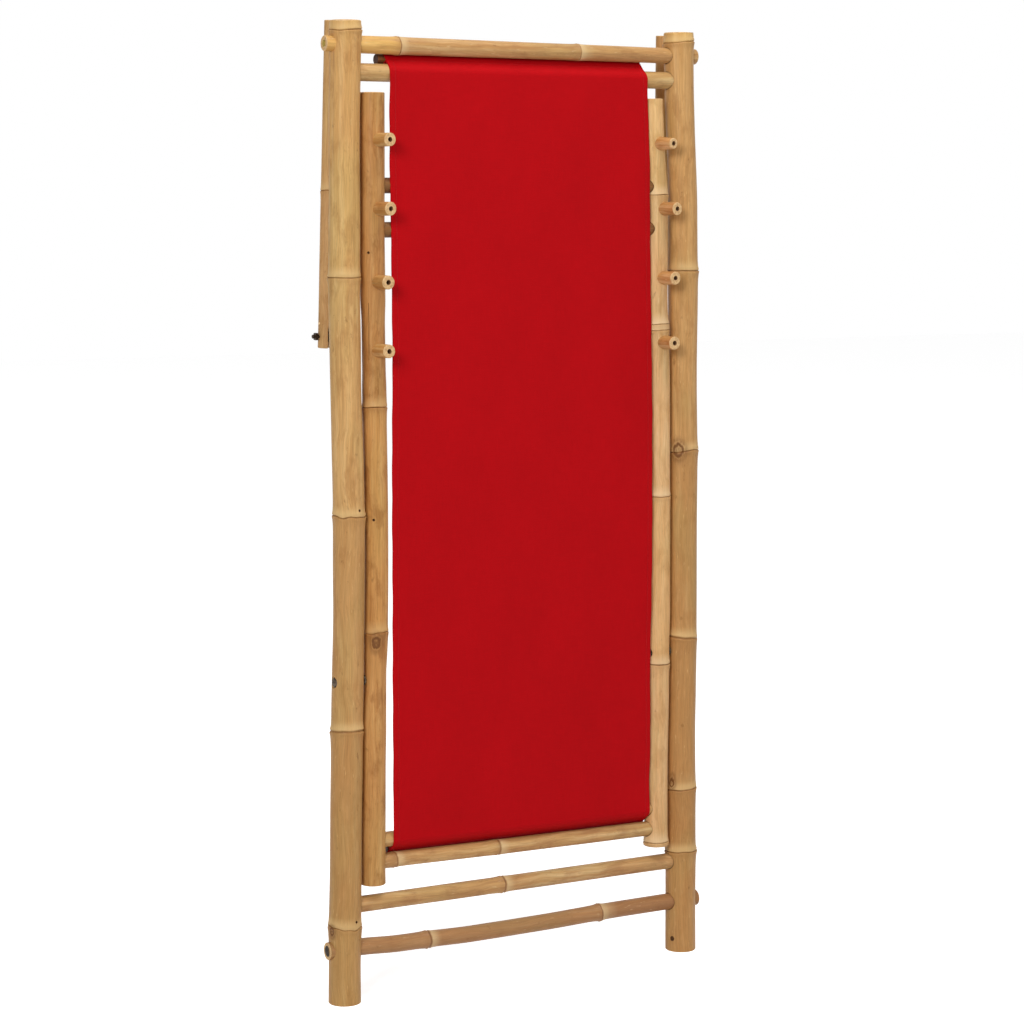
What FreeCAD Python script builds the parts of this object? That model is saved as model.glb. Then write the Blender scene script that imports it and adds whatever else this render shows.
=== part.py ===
import FreeCAD, Part
import math
import os

# Folding deck chair of bamboo culms with a canvas sling, folded flat and standing upright.
# Millimetres. X runs across the chair, Y from the sitter's side to the back, Z up.
# The shapes are drawn with the back frame's posts in the plane Y = 0 and are then moved,
# so that the origin lies on the floor under the middle of the whole chair.

# Back frame, which stands on the floor
chair_height = 1250.0
post_spacing = 506.0
post_foot_d = 41.6
post_top_d = 40.4
post_bore_d = 29.0
post_top_bore = 7.0
post_foot_bore = 38.0
post_left_nodes = (94.0, 346.0, 618.0, 923.0, 1238.5)
post_right_nodes = (135.0, 221.0, 424.0, 680.0, 926.0, 1236.5)

rail_d = 23.2
head_rail_below_top = 30.0
rail_spacing = 35.5
head_rail_stub_left = 13.0
head_rail_stub_right = 3.0
head_rail_nodes = (-178.0, 87.0)

foot_rung_d = 19.6
foot_rung_upper_height = 122.0
foot_rung_lower_height = 68.0
foot_rung_stub = 3.5
foot_rung_upper_nodes = (-16.0,)
foot_rung_lower_nodes = (-141.0, 121.0)

# Seat frame, which turns between the posts
pivot_height = 408.0
pole_gap = 2.2
seat_pole_d = 30.0
seat_pole_bore_d = 20.0
seat_pole_top_bore = 24.0
seat_pole_foot_bore = 12.0
seat_foot_gap = 14.2
seat_top_gap = 13.9
seat_left_nodes = (466.0, 756.0)
seat_right_nodes = (390.0, 618.0, 855.0, 1028.5)

seat_rung_d = 19.2
front_rung_above_foot = 27.5
rung_spacing = 27.5
front_rung_nodes = (-36.0,)
brace_rung_d = 20.4
brace_upper_above_peg = 30.0
brace_lower_below_peg = 27.0
brace_nodes = (62.0,)

# Stop pegs, short hollow stubs on the sitter's side of each seat pole
peg_d = 17.0
peg_bore_d = 5.6
peg_bore_depth = 16.0
peg_reach = 40.0
peg_seat_depth = 5.0
peg_below_end = 61.0
peg_step_upper = 88.0
peg_step_middle = 93.5
peg_step_lower = 87.5

# Prop frame, which hangs on screw eyes behind the posts
prop_pin_below_top = 405.0
prop_pin_back = 63.0
prop_top_clearance = 15.0
prop_foot_d = 22.0
prop_top_d = 20.0
prop_bore_d = 12.0
prop_top_bore = 18.0
prop_foot_below_pin = 15.0
prop_pole_length = 419.0
prop_pole_nodes = (204.0,)
prop_bar_below_top = 29.0
prop_bar_d = 18.0
prop_bar_tenon_d = 11.0
prop_tenon_past_axis = 4.0
prop_bar_nodes = (-95.0, 128.0)

# Canvas sling and the two dowels that hold it
sling_side_gap = 5.0
sling_thickness = 1.2
upper_dowel_d = 14.0
upper_dowel_stick_out_left = 13.0
upper_dowel_inset_right = 8.0
lower_dowel_d = 12.0
lower_dowel_inset = 2.0
sleeve_rise_limit = 0.95

# Pivot bolts and their washers and nuts
bolt_d = 6.0
bolt_head_d = 14.0
bolt_head_dome = 4.0
bolt_head_sink = 3.0
bolt_head_clearance = 0.4
bolt_end_thread = 1.5
nut_across_flats = 10.0
nut_thickness = 5.0
washer_d = 13.0
washer_thickness = 1.2
nut_recess_d = 14.2
nut_recess_depth = 8.0

# Screw eyes, prop pins, nuts and tacks
eye_d = 15.0
eye_wire_d = 4.5
eye_round = 1.35
eye_neck = 1.5
eye_thread_depth = 26.0
prop_pin_d = 5.0
prop_pin_head_d = 8.0
prop_pin_head_dome = 2.6
prop_pin_end = 9.0
prop_nut_d = 9.2
prop_nut_thickness = 3.6
prop_nut_stand_off = 2.2
tack_d = 2.0
tack_head_d = 4.2
tack_head_dome = 1.3
tack_head_sink = 0.6
tack_above_pin = 17.0
tack_depth = 7.0

# Nails in the rung joints
nail_d = 2.4
nail_head_d = 5.2
nail_head_thickness = 0.9
nail_head_sink = 0.2
nail_into_rung = 4.0

# Natural holes in the culms, each by its height and its heading from the front towards +X
bud_hole_d = 2.6
bud_hole_depth = 4.0
post_left_holes = ((627.0, 16.0), (104.0, 7.0))
post_right_holes = ((14.0, -62.0),)
seat_left_holes = ((954.0, -44.0), (613.0, -37.0))

# Bamboo nodes: a ridge, a groove and a collar, with a flare below and above.
# The shares say how much of the node's swell each of them has.
node_swell = 1.3
thin_node_swell = 0.8
node_below = 12.0
node_above = 10.0
flare_below = 5.5
flare_above = 5.0
ridge_below = 1.6
collar_above = 1.8
groove_share = 0.3
collar_share = 0.75
flare_below_share = 0.42
flare_above_share = 0.28

# Clearances
joint_fit = 0.06
pivot_fit = 0.08
touch_gap = 0.3
washer_seat_gap = 0.15
bar_gap = 0.4
edge_break = 0.9
socket_past_axis = 5.0
slot_side_gap = 0.5
slot_end_gap = 4.0
cut_overrun = 3.0

# Places worked out from the sizes above
post_x = post_spacing / 2.0
post_r = max(post_foot_d, post_top_d) / 2.0
seat_r = seat_pole_d / 2.0
seat_x = post_x - post_r - pole_gap - seat_r
rail_r = rail_d / 2.0
head_rail_height = chair_height - head_rail_below_top
sling_rail_height = head_rail_height - rail_spacing
seat_pole_foot = foot_rung_upper_height + foot_rung_d / 2.0 + seat_foot_gap
seat_pole_top = sling_rail_height - rail_r - seat_top_gap
front_rung_height = seat_pole_foot + front_rung_above_foot
sling_rung_height = front_rung_height + rung_spacing
peg_top_height = seat_pole_top - peg_below_end
peg_heights = (
    peg_top_height,
    peg_top_height - peg_step_upper,
    peg_top_height - peg_step_upper - peg_step_middle,
    peg_top_height - peg_step_upper - peg_step_middle - peg_step_lower,
)
brace_upper_height = peg_heights[1] + brace_upper_above_peg
brace_lower_height = peg_heights[1] - brace_lower_below_peg
prop_pin_height = chair_height - prop_pin_below_top
prop_top_y = post_top_d / 2.0 + node_swell + prop_top_clearance + prop_top_d / 2.0
prop_above_pin = prop_pole_length - prop_foot_below_pin
prop_bar_above_pin = prop_above_pin - prop_bar_below_top
prop_lean = math.asin((prop_pin_back - prop_top_y) / prop_above_pin)
sling_width = 2.0 * (seat_x - seat_r - sling_side_gap)
upper_dowel_left = -sling_width / 2.0 - upper_dowel_stick_out_left
upper_dowel_right = sling_width / 2.0 - upper_dowel_inset_right
lower_dowel_end = sling_width / 2.0 - lower_dowel_inset
nut_seat_x = seat_x - seat_r + nut_recess_depth
sides = (-1.0, 1.0)


def vec(x, y, z):
    return FreeCAD.Vector(x, y, z)


def cylinder_x(radius, x_from, x_to, y, z):
    low = min(x_from, x_to)
    return Part.makeCylinder(radius, abs(x_to - x_from), vec(low, y, z), vec(1, 0, 0))


def cylinder_y(radius, x, y_from, y_to, z):
    low = min(y_from, y_to)
    return Part.makeCylinder(radius, abs(y_to - y_from), vec(x, low, z), vec(0, 1, 0))


def cylinder_z(radius, x, y, z_from, z_to):
    return Part.makeCylinder(radius, z_to - z_from, vec(x, y, z_from), vec(0, 0, 1))


def culm(length, foot_r, top_r, nodes, swell):
    """A bamboo culm along +Z from the origin. A node that its cut ends would halve is left out."""

    def wall(z):
        return foot_r + (top_r - foot_r) * z / length

    def arc(start, middle, end):
        return Part.Arc(vec(*start), vec(*middle), vec(*end)).toShape()

    def line(start, end):
        return Part.makeLine(vec(*start), vec(*end))

    edges = [line((0, 0, 0), (foot_r - edge_break, 0, 0))]
    here = (foot_r, 0, edge_break)
    edges.append(line((foot_r - edge_break, 0, 0), here))
    whole_nodes = [
        z for z in nodes if edge_break + node_below < z < length - edge_break - node_above
    ]
    for z in whole_nodes:
        start = (wall(z - node_below), 0, z - node_below)
        flare_in = (wall(z) + flare_below_share * swell, 0, z - flare_below)
        ridge = (wall(z) + swell, 0, z - ridge_below)
        groove = (wall(z) + groove_share * swell, 0, z)
        collar = (wall(z) + collar_share * swell, 0, z + collar_above)
        flare_out = (wall(z) + flare_above_share * swell, 0, z + flare_above)
        end = (wall(z + node_above), 0, z + node_above)
        edges.append(line(here, start))
        edges.append(arc(start, flare_in, ridge))
        edges.append(line(ridge, groove))
        edges.append(line(groove, collar))
        edges.append(arc(collar, flare_out, end))
        here = end
    shoulder = (top_r, 0, length - edge_break)
    edges.append(line(here, shoulder))
    edges.append(line(shoulder, (top_r - edge_break, 0, length)))
    edges.append(line((top_r - edge_break, 0, length), (0, 0, length)))
    edges.append(line((0, 0, length), (0, 0, 0)))
    profile = Part.Face(Part.Wire(edges))
    return profile.revolve(vec(0, 0, 0), vec(0, 0, 1), 360)


def rung(x_from, x_to, y, z, diameter, nodes):
    """A thin culm across the chair. Its nodes are given as places along X."""
    along = [x - x_from for x in nodes]
    shape = culm(x_to - x_from, diameter / 2.0, diameter / 2.0, along, thin_node_swell)
    shape.rotate(vec(0, 0, 0), vec(0, 1, 0), 90)
    shape.translate(vec(x_from, y, z))
    return shape


def dome(radius, height):
    """A round head on the plane Z = 0 that rises to height, a cap of a sphere."""
    ball_r = (radius**2 + height**2) / (2.0 * height)
    ball = Part.makeSphere(ball_r, vec(0, 0, height - ball_r))
    return ball.common(Part.makeCylinder(radius + cut_overrun, height))


def dome_x(radius, height, x, y, z, side):
    shape = dome(radius, height)
    shape.rotate(vec(0, 0, 0), vec(0, 1, 0), 90 * side)
    shape.translate(vec(x, y, z))
    return shape


def hexagon_x(across_flats, x_from, x_to, y, z):
    """A six-sided nut body along X, before its hole is cut."""
    corner = across_flats / math.sqrt(3.0)
    low = min(x_from, x_to)
    points = []
    for turn in range(7):
        angle = math.radians(60.0 * turn)
        points.append(vec(low, y + corner * math.cos(angle), z + corner * math.sin(angle)))
    return Part.Face(Part.makePolygon(points)).extrude(vec(abs(x_to - x_from), 0, 0))


def bud_holes(x, radius, places):
    """Small holes into a standing culm. Each place is a height and a heading in degrees."""
    cuts = []
    for z, heading in places:
        turn = math.radians(heading)
        outward = vec(math.sin(turn), -math.cos(turn), 0)
        start = vec(x, 0, z) + outward * (radius - bud_hole_depth)
        cuts.append(Part.makeCylinder(bud_hole_d / 2.0, 2.0 * bud_hole_depth, start, outward))
    return cuts


def place(shape, y, z, turn):
    """Tips a shape drawn upright on the origin by turn radians about X, then moves it."""
    shape.rotate(vec(0, 0, 0), vec(1, 0, 0), math.degrees(turn))
    shape.translate(vec(0, y, z))
    return shape


# Rung places, shared by the holes, the rungs and the nails
back_rungs = (
    ("head_rail", head_rail_height, rail_d, head_rail_nodes),
    ("sling_rail", sling_rail_height, rail_d, ()),
    ("foot_rung_upper", foot_rung_upper_height, foot_rung_d, foot_rung_upper_nodes),
    ("foot_rung_lower", foot_rung_lower_height, foot_rung_d, foot_rung_lower_nodes),
)
seat_rungs = (
    ("sling_rung", sling_rung_height, seat_rung_d, ()),
    ("front_rung", front_rung_height, seat_rung_d, front_rung_nodes),
    ("brace_rung_upper", brace_upper_height, brace_rung_d, ()),
    ("brace_rung_lower", brace_lower_height, brace_rung_d, brace_nodes),
)
blind_end = post_x + socket_past_axis
seat_blind_end = seat_x + socket_past_axis
rung_ends = {
    "head_rail": (-post_x - post_r - head_rail_stub_left, post_x + post_r + head_rail_stub_right),
    "sling_rail": (-blind_end, blind_end),
    "foot_rung_upper": (-blind_end, blind_end),
    "foot_rung_lower": (-post_x - post_r - foot_rung_stub, post_x + post_r + foot_rung_stub),
}


def post_wall(z):
    """A post's radius at a height, since it tapers."""
    return (post_foot_d + (post_top_d - post_foot_d) * z / chair_height) / 2.0


def nail(x, z, pole_r, rung_r):
    """A nail from the back, through the pole's wall and into the rung. Its head lies sunk."""
    head_back = pole_r - nail_head_sink
    head = cylinder_y(nail_head_d / 2.0, x, head_back - nail_head_thickness, head_back, z)
    shank = cylinder_y(nail_d / 2.0, x, rung_r - nail_into_rung, head_back, z)
    return head.fuse(shank)


def nail_hole(x, z, pole_r, rung_r):
    head_front = pole_r - nail_head_sink - nail_head_thickness - joint_fit
    shank_front = rung_r - nail_into_rung - joint_fit
    seat = cylinder_y(nail_head_d / 2.0 + joint_fit, x, head_front, pole_r + cut_overrun, z)
    shank = cylinder_y(nail_d / 2.0 + joint_fit, x, shank_front, pole_r + cut_overrun, z)
    return seat.fuse(shank)


def back_post(side, nodes, holes):
    shape = culm(chair_height, post_foot_d / 2.0, post_top_d / 2.0, nodes, node_swell)
    shape.translate(vec(side * post_x, 0, 0))
    x = side * post_x
    bore_r = post_bore_d / 2.0
    far = post_r + node_swell + cut_overrun
    pivot_wall = post_wall(pivot_height)
    head_seat = side * (post_x + pivot_wall - bolt_head_sink)
    spacer_face = side * (post_x - pivot_wall - washer_seat_gap)
    eye_root = post_wall(prop_pin_height) - eye_thread_depth - joint_fit
    cuts = [
        cylinder_z(bore_r, x, 0, chair_height - post_top_bore, chair_height + cut_overrun),
        cylinder_z(bore_r, x, 0, -cut_overrun, post_foot_bore),
        cylinder_x(bolt_d / 2.0 + joint_fit, x - far, x + far, 0, pivot_height),
        cylinder_x(bolt_head_d / 2.0 + bolt_head_clearance, head_seat, x + side * far, 0, pivot_height),
        cylinder_x(washer_d / 2.0 + joint_fit, spacer_face, x - side * far, 0, pivot_height),
        cylinder_y(eye_wire_d / 2.0 + joint_fit, x, eye_root, far, prop_pin_height),
    ]
    for name, z, diameter, rung_nodes in back_rungs:
        low, high = rung_ends[name]
        end = high if side > 0 else low
        reach = end + side * joint_fit
        cuts.append(cylinder_x(diameter / 2.0 + joint_fit, 0, reach, 0, z))
        cuts.append(nail_hole(x, z, post_wall(z), diameter / 2.0))
    cuts.extend(bud_holes(x, post_r, holes))
    return shape.cut(cuts)


def seat_pole(side, nodes, holes):
    length = seat_pole_top - seat_pole_foot
    along = [z - seat_pole_foot for z in nodes]
    shape = culm(length, seat_r, seat_r, along, node_swell)
    x = side * seat_x
    shape.translate(vec(x, 0, seat_pole_foot))
    bore_r = seat_pole_bore_d / 2.0
    bore_top = seat_pole_foot + seat_pole_foot_bore
    bore_bottom = seat_pole_top - seat_pole_top_bore
    far = seat_r + node_swell + cut_overrun
    spacer_r = washer_d / 2.0 + joint_fit
    spacer_seat = x + side * (seat_r + washer_seat_gap)
    cuts = [
        cylinder_z(bore_r, x, 0, bore_bottom, seat_pole_top + cut_overrun),
        cylinder_z(bore_r, x, 0, seat_pole_foot - cut_overrun, bore_top),
        cylinder_x(bolt_d / 2.0 + pivot_fit, x - far, x + far, 0, pivot_height),
        cylinder_x(spacer_r, spacer_seat, x + side * far, 0, pivot_height),
        cylinder_x(nut_recess_d / 2.0, side * nut_seat_x, x - side * far, 0, pivot_height),
    ]
    for z in peg_heights:
        cuts.append(cylinder_y(peg_d / 2.0 + joint_fit, x, -peg_reach, peg_seat_depth + joint_fit, z))
    for name, z, diameter, rung_nodes in seat_rungs:
        reach = side * (seat_blind_end + joint_fit)
        cuts.append(cylinder_x(diameter / 2.0 + joint_fit, 0, reach, 0, z))
        cuts.append(nail_hole(x, z, seat_r, diameter / 2.0))
    cuts.extend(bud_holes(x, seat_r, holes))
    return shape.cut(cuts)


def cut_rung_nails(shape, x, z, pole_r, diameter):
    holes = [nail_hole(side * x, z, pole_r, diameter / 2.0) for side in sides]
    return shape.cut(holes)


def peg(side, z):
    shape = culm(peg_reach + peg_seat_depth, peg_d / 2.0, peg_d / 2.0, (), thin_node_swell)
    shape.rotate(vec(0, 0, 0), vec(1, 0, 0), 90)
    x = side * seat_x
    shape.translate(vec(x, peg_seat_depth, z))
    bore_end = peg_bore_depth - peg_reach
    return shape.cut(cylinder_y(peg_bore_d / 2.0, x, -peg_reach - cut_overrun, bore_end, z))


def prop_pole(side):
    """Drawn upright with the pin's axis at the origin, then leaned on the post."""
    shape = culm(
        prop_pole_length, prop_foot_d / 2.0, prop_top_d / 2.0, prop_pole_nodes, thin_node_swell
    )
    x = side * post_x
    shape.translate(vec(x, 0, -prop_foot_below_pin))
    slot_half = eye_wire_d / 2.0 + slot_side_gap
    slot_bottom = -prop_foot_below_pin - cut_overrun
    slot_height = eye_d / 2.0 + slot_end_gap - slot_bottom
    slot_corner = vec(x - slot_half, -prop_foot_d, slot_bottom)
    slot = Part.makeBox(2.0 * slot_half, 2.0 * prop_foot_d, slot_height, slot_corner)
    bore_bottom = prop_above_pin - prop_top_bore
    tenon_end = side * (post_x + prop_tenon_past_axis + joint_fit)
    cuts = [
        slot,
        cylinder_z(prop_bore_d / 2.0, x, 0, bore_bottom, prop_above_pin + cut_overrun),
        cylinder_x(prop_pin_d / 2.0 + joint_fit, x - prop_foot_d, x + prop_foot_d, 0, 0),
        cylinder_x(prop_bar_tenon_d / 2.0 + joint_fit, 0, tenon_end, 0, prop_bar_above_pin),
        tack_shape(side, joint_fit),
    ]
    return place(shape.cut(cuts), prop_pin_back, prop_pin_height, prop_lean)


def tack_shape(side, clearance):
    """A tack from the outer side, beside the slot, drawn where prop_pole draws the pole."""
    surface = side * (post_x + prop_foot_d / 2.0 - tack_head_sink)
    point = surface - side * tack_depth
    head_r = tack_head_d / 2.0 + clearance
    shank = cylinder_x(tack_d / 2.0 + clearance, point, surface, 0, tack_above_pin)
    return shank.fuse(dome_x(head_r, tack_head_dome, surface, 0, tack_above_pin, side))


def prop_bar():
    shoulder = post_x - prop_top_d / 2.0 - touch_gap
    bar = rung(-shoulder, shoulder, 0, prop_bar_above_pin, prop_bar_d, prop_bar_nodes)
    end = post_x + prop_tenon_past_axis
    tenon = cylinder_x(prop_bar_tenon_d / 2.0, -end, end, 0, prop_bar_above_pin)
    return place(bar.fuse(tenon), prop_pin_back, prop_pin_height, prop_lean)


def prop_pin(side):
    inner = side * (post_x - prop_foot_d / 2.0 - touch_gap)
    outer = side * (post_x + prop_foot_d / 2.0 + prop_pin_end)
    shank = cylinder_x(prop_pin_d / 2.0, inner, outer, 0, 0)
    head = dome_x(prop_pin_head_d / 2.0, prop_pin_head_dome, inner, 0, 0, -side)
    return place(shank.fuse(head), prop_pin_back, prop_pin_height, prop_lean)


def prop_nut(side):
    near = side * (post_x + prop_foot_d / 2.0 + prop_nut_stand_off)
    far = near + side * prop_nut_thickness
    body = hexagon_x(prop_nut_d, near, far, 0, 0)
    overrun = side * cut_overrun
    hole = cylinder_x(prop_pin_d / 2.0 + joint_fit, near - overrun, far + overrun, 0, 0)
    return place(body.cut(hole), prop_pin_back, prop_pin_height, prop_lean)


def screw_eye(side):
    x = side * post_x
    half = eye_wire_d / 2.0
    ring = cylinder_x(eye_d / 2.0, x - half, x + half, prop_pin_back, prop_pin_height)
    rims = [edge for edge in ring.Edges if edge.Curve.TypeId == "Part::GeomCircle"]
    ring = ring.makeFillet(eye_round, rims)
    root = post_wall(prop_pin_height) - eye_thread_depth
    neck = prop_pin_back - eye_d / 2.0 + eye_neck
    shank = cylinder_y(half, x, root, neck, prop_pin_height)
    hole = cylinder_x(
        prop_pin_d / 2.0 + pivot_fit, x - eye_wire_d, x + eye_wire_d, prop_pin_back, prop_pin_height
    )
    return ring.fuse(shank).cut(hole)


def pivot_bolt(side):
    seat = side * (post_x + post_wall(pivot_height) - bolt_head_sink)
    nut_inner = nut_seat_x - touch_gap - washer_thickness - nut_thickness
    end = side * (nut_inner - bolt_end_thread)
    shank = cylinder_x(bolt_d / 2.0, end, seat, 0, pivot_height)
    head = dome_x(bolt_head_d / 2.0, bolt_head_dome, seat, 0, pivot_height, side)
    return shank.fuse(head)


def ring_x(outer_d, x_from, x_to):
    low = min(x_from, x_to)
    high = max(x_from, x_to)
    body = cylinder_x(outer_d / 2.0, low, high, 0, pivot_height)
    hole_r = bolt_d / 2.0 + joint_fit
    return body.cut(cylinder_x(hole_r, low - cut_overrun, high + cut_overrun, 0, pivot_height))


def pivot_spacer(side):
    outer = side * (post_x - post_wall(pivot_height) - touch_gap)
    inner = side * (seat_x + seat_r + touch_gap)
    return ring_x(washer_d, outer, inner)


def pivot_washer(side):
    outer = side * (nut_seat_x - touch_gap)
    return ring_x(washer_d, outer, outer - side * washer_thickness)


def pivot_nut(side):
    outer = side * (nut_seat_x - touch_gap - washer_thickness)
    inner = outer - side * nut_thickness
    body = hexagon_x(nut_across_flats, outer, inner, 0, pivot_height)
    overrun = side * cut_overrun
    hole_r = bolt_d / 2.0 + joint_fit
    return body.cut(cylinder_x(hole_r, outer + overrun, inner - overrun, 0, pivot_height))


def dowel(x_from, x_to, diameter, centre):
    return rung(x_from, x_to, centre[0], centre[1], diameter, ())


# The sling, drawn in the plane across the chair as (y, z) points and then pushed along X

upper_sleeve_r = upper_dowel_d / 2.0 + touch_gap + sling_thickness
lower_sleeve_r = lower_dowel_d / 2.0 + touch_gap + sling_thickness
sleeve_gap = touch_gap + thin_node_swell


def sleeve_seat(bar_height, bar_r, sleeve_r, half_way):
    """A sleeve lies against its bar, half way to the next bar or as far as it still touches."""
    far = bar_r + sleeve_r + sleeve_gap
    rise = min(half_way, sleeve_rise_limit * far)
    return (math.sqrt(far**2 - rise**2), bar_height, rise)


upper_y, upper_z, upper_rise = sleeve_seat(
    sling_rail_height, rail_r, upper_sleeve_r, rail_spacing / 2.0
)
lower_y, lower_z, lower_rise = sleeve_seat(
    sling_rung_height, seat_rung_d / 2.0, lower_sleeve_r, rung_spacing / 2.0
)
upper_sleeve = (upper_y, upper_z + upper_rise)
lower_sleeve = (lower_y, lower_z - lower_rise)


def on_circle(centre, radius, angle):
    return (centre[0] + radius * math.cos(angle), centre[1] + radius * math.sin(angle))


def push_across(face):
    return face.extrude(vec(sling_width, 0, 0))


def strip_line(start, end):
    """A straight run of cloth between two points of its middle line."""
    along = math.atan2(end[1] - start[1], end[0] - start[0])
    half = sling_thickness / 2.0
    dy = -math.sin(along) * half
    dz = math.cos(along) * half
    corners = [
        (start[0] + dy, start[1] + dz),
        (end[0] + dy, end[1] + dz),
        (end[0] - dy, end[1] - dz),
        (start[0] - dy, start[1] - dz),
    ]
    corners.append(corners[0])
    points = [vec(-sling_width / 2.0, y, z) for y, z in corners]
    return push_across(Part.Face(Part.makePolygon(points)))


def strip_arc(centre, radius, start, end):
    """A bent run of cloth about a centre, from one angle to a larger one."""
    x = -sling_width / 2.0
    half = sling_thickness / 2.0

    def point(r, angle):
        y, z = on_circle(centre, r, angle)
        return vec(x, y, z)

    def bend(r, a, b):
        return Part.Arc(point(r, a), point(r, (a + b) / 2.0), point(r, b)).toShape()

    edges = [
        bend(radius + half, start, end),
        Part.makeLine(point(radius + half, end), point(radius - half, end)),
        bend(radius - half, end, start),
        Part.makeLine(point(radius - half, start), point(radius + half, start)),
    ]
    return push_across(Part.Face(Part.Wire(edges)))


def sleeve(centre, radius):
    low = -sling_width / 2.0
    outer = cylinder_x(radius, low, -low, centre[0], centre[1])
    far = cut_overrun - low
    return outer.cut(cylinder_x(radius - sling_thickness, -far, far, centre[0], centre[1]))


def tangent_angle(point, centre, radius, turn):
    """Where the line from a point touches a circle, as an angle about the circle's centre."""
    dy = point[0] - centre[0]
    dz = point[1] - centre[1]
    return math.atan2(dz, dy) + turn * math.acos(radius / math.hypot(dy, dz))


def out_of_sleeve(sleeve_centre, sleeve_r, touch):
    """The point in the sleeve's wall where the cloth leaves for the touch point."""
    along = math.atan2(touch[1] - sleeve_centre[1], touch[0] - sleeve_centre[0])
    return on_circle(sleeve_centre, sleeve_r - sling_thickness / 2.0, along)


def canvas_sling():
    half = sling_thickness / 2.0
    rail = (0.0, sling_rail_height)
    low_rung = (0.0, sling_rung_height)
    rail_path_r = rail_r + touch_gap + half
    rung_path_r = seat_rung_d / 2.0 + touch_gap + half
    top_angle = tangent_angle(upper_sleeve, rail, rail_path_r, 1.0)
    drop = sling_rail_height - sling_rung_height
    front_angle = math.pi + math.asin((rail_path_r - rung_path_r) / drop)
    low_angle = tangent_angle(lower_sleeve, low_rung, rung_path_r, -1.0) + 2.0 * math.pi
    top_touch = on_circle(rail, rail_path_r, top_angle)
    front_top = on_circle(rail, rail_path_r, front_angle)
    front_low = on_circle(low_rung, rung_path_r, front_angle)
    low_touch = on_circle(low_rung, rung_path_r, low_angle)
    pieces = [
        sleeve(upper_sleeve, upper_sleeve_r),
        strip_line(out_of_sleeve(upper_sleeve, upper_sleeve_r, top_touch), top_touch),
        strip_arc(rail, rail_path_r, top_angle, front_angle),
        strip_line(front_top, front_low),
        strip_arc(low_rung, rung_path_r, front_angle, low_angle),
        strip_line(low_touch, out_of_sleeve(lower_sleeve, lower_sleeve_r, low_touch)),
        sleeve(lower_sleeve, lower_sleeve_r),
    ]
    flat = (
        2.0 * math.pi * (upper_sleeve_r + lower_sleeve_r - sling_thickness)
        + rail_path_r * (front_angle - top_angle)
        + rung_path_r * (low_angle - front_angle)
        + math.dist(front_top, front_low)
        + math.dist(top_touch, out_of_sleeve(upper_sleeve, upper_sleeve_r, top_touch))
        + math.dist(low_touch, out_of_sleeve(lower_sleeve, lower_sleeve_r, low_touch))
    )
    print("flat length of the sling with its sleeves opened:", round(flat, 1))
    return pieces[0].multiFuse(pieces[1:]).removeSplitter()


# How far the frames open: the prop bar rests on the seat poles, behind the lowest peg

def open_angles(peg_height):
    pin_up = prop_pin_height - pivot_height
    pin_far = math.hypot(pin_up, prop_pin_back)
    pin_behind = math.atan2(prop_pin_back, pin_up)
    along = peg_height - pivot_height - peg_d / 2.0 - prop_bar_d / 2.0 - bar_gap
    above = seat_r + prop_bar_d / 2.0 + bar_gap
    bar_far = math.hypot(along, above)
    corner = math.acos(
        (pin_far**2 + bar_far**2 - prop_bar_above_pin**2) / (2.0 * pin_far * bar_far)
    )
    seat_open = corner + math.atan2(above, along) + pin_behind
    bar_y = along * math.sin(seat_open) - above * math.cos(seat_open) - prop_pin_back
    bar_z = along * math.cos(seat_open) + above * math.sin(seat_open) - pin_up
    prop_open = math.atan2(bar_y, bar_z) + prop_lean
    return math.degrees(seat_open), math.degrees(prop_open)


parts = {}

parts["back_post_left"] = back_post(-1.0, post_left_nodes, post_left_holes)
parts["back_post_right"] = back_post(1.0, post_right_nodes, post_right_holes)
for name, z, diameter, nodes in back_rungs:
    low, high = rung_ends[name]
    shape = rung(low, high, 0, z, diameter, nodes)
    parts[name] = cut_rung_nails(shape, post_x, z, post_wall(z), diameter)

parts["seat_pole_left"] = seat_pole(-1.0, seat_left_nodes, seat_left_holes)
parts["seat_pole_right"] = seat_pole(1.0, seat_right_nodes, ())
for name, z, diameter, nodes in seat_rungs:
    shape = rung(-seat_blind_end, seat_blind_end, 0, z, diameter, nodes)
    parts[name] = cut_rung_nails(shape, seat_x, z, seat_r, diameter)
for side, word in ((-1.0, "left"), (1.0, "right")):
    for count, z in enumerate(peg_heights, start=1):
        parts["stop_peg_%s_%d" % (word, count)] = peg(side, z)
    parts["prop_pole_" + word] = prop_pole(side)

parts["prop_bar"] = prop_bar()
parts["sleeve_dowel_upper"] = dowel(upper_dowel_left, upper_dowel_right, upper_dowel_d, upper_sleeve)
parts["sleeve_dowel_lower"] = dowel(-lower_dowel_end, lower_dowel_end, lower_dowel_d, lower_sleeve)
parts["canvas_sling"] = canvas_sling()


def pair(make):
    """The left and right copies of a small piece, as separate solids in one node."""
    return Part.makeCompound([make(side) for side in sides])


parts["pivot_bolts"] = pair(pivot_bolt)
parts["pivot_spacers"] = pair(pivot_spacer)
parts["pivot_washers"] = pair(pivot_washer)
parts["pivot_nuts"] = pair(pivot_nut)
parts["screw_eyes"] = pair(screw_eye)
parts["prop_pins"] = pair(prop_pin)
parts["prop_nuts"] = pair(prop_nut)
parts["prop_tacks"] = pair(
    lambda side: place(tack_shape(side, 0.0), prop_pin_back, prop_pin_height, prop_lean)
)
parts["back_frame_nails"] = Part.makeCompound(
    [
        nail(side * post_x, z, post_wall(z), diameter / 2.0)
        for name, z, diameter, nodes in back_rungs
        for side in sides
    ]
)
parts["seat_frame_nails"] = Part.makeCompound(
    [
        nail(side * seat_x, z, seat_r, diameter / 2.0)
        for name, z, diameter, nodes in seat_rungs
        for side in sides
    ]
)

# The origin goes on the floor, under the middle of the box round the whole chair

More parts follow.
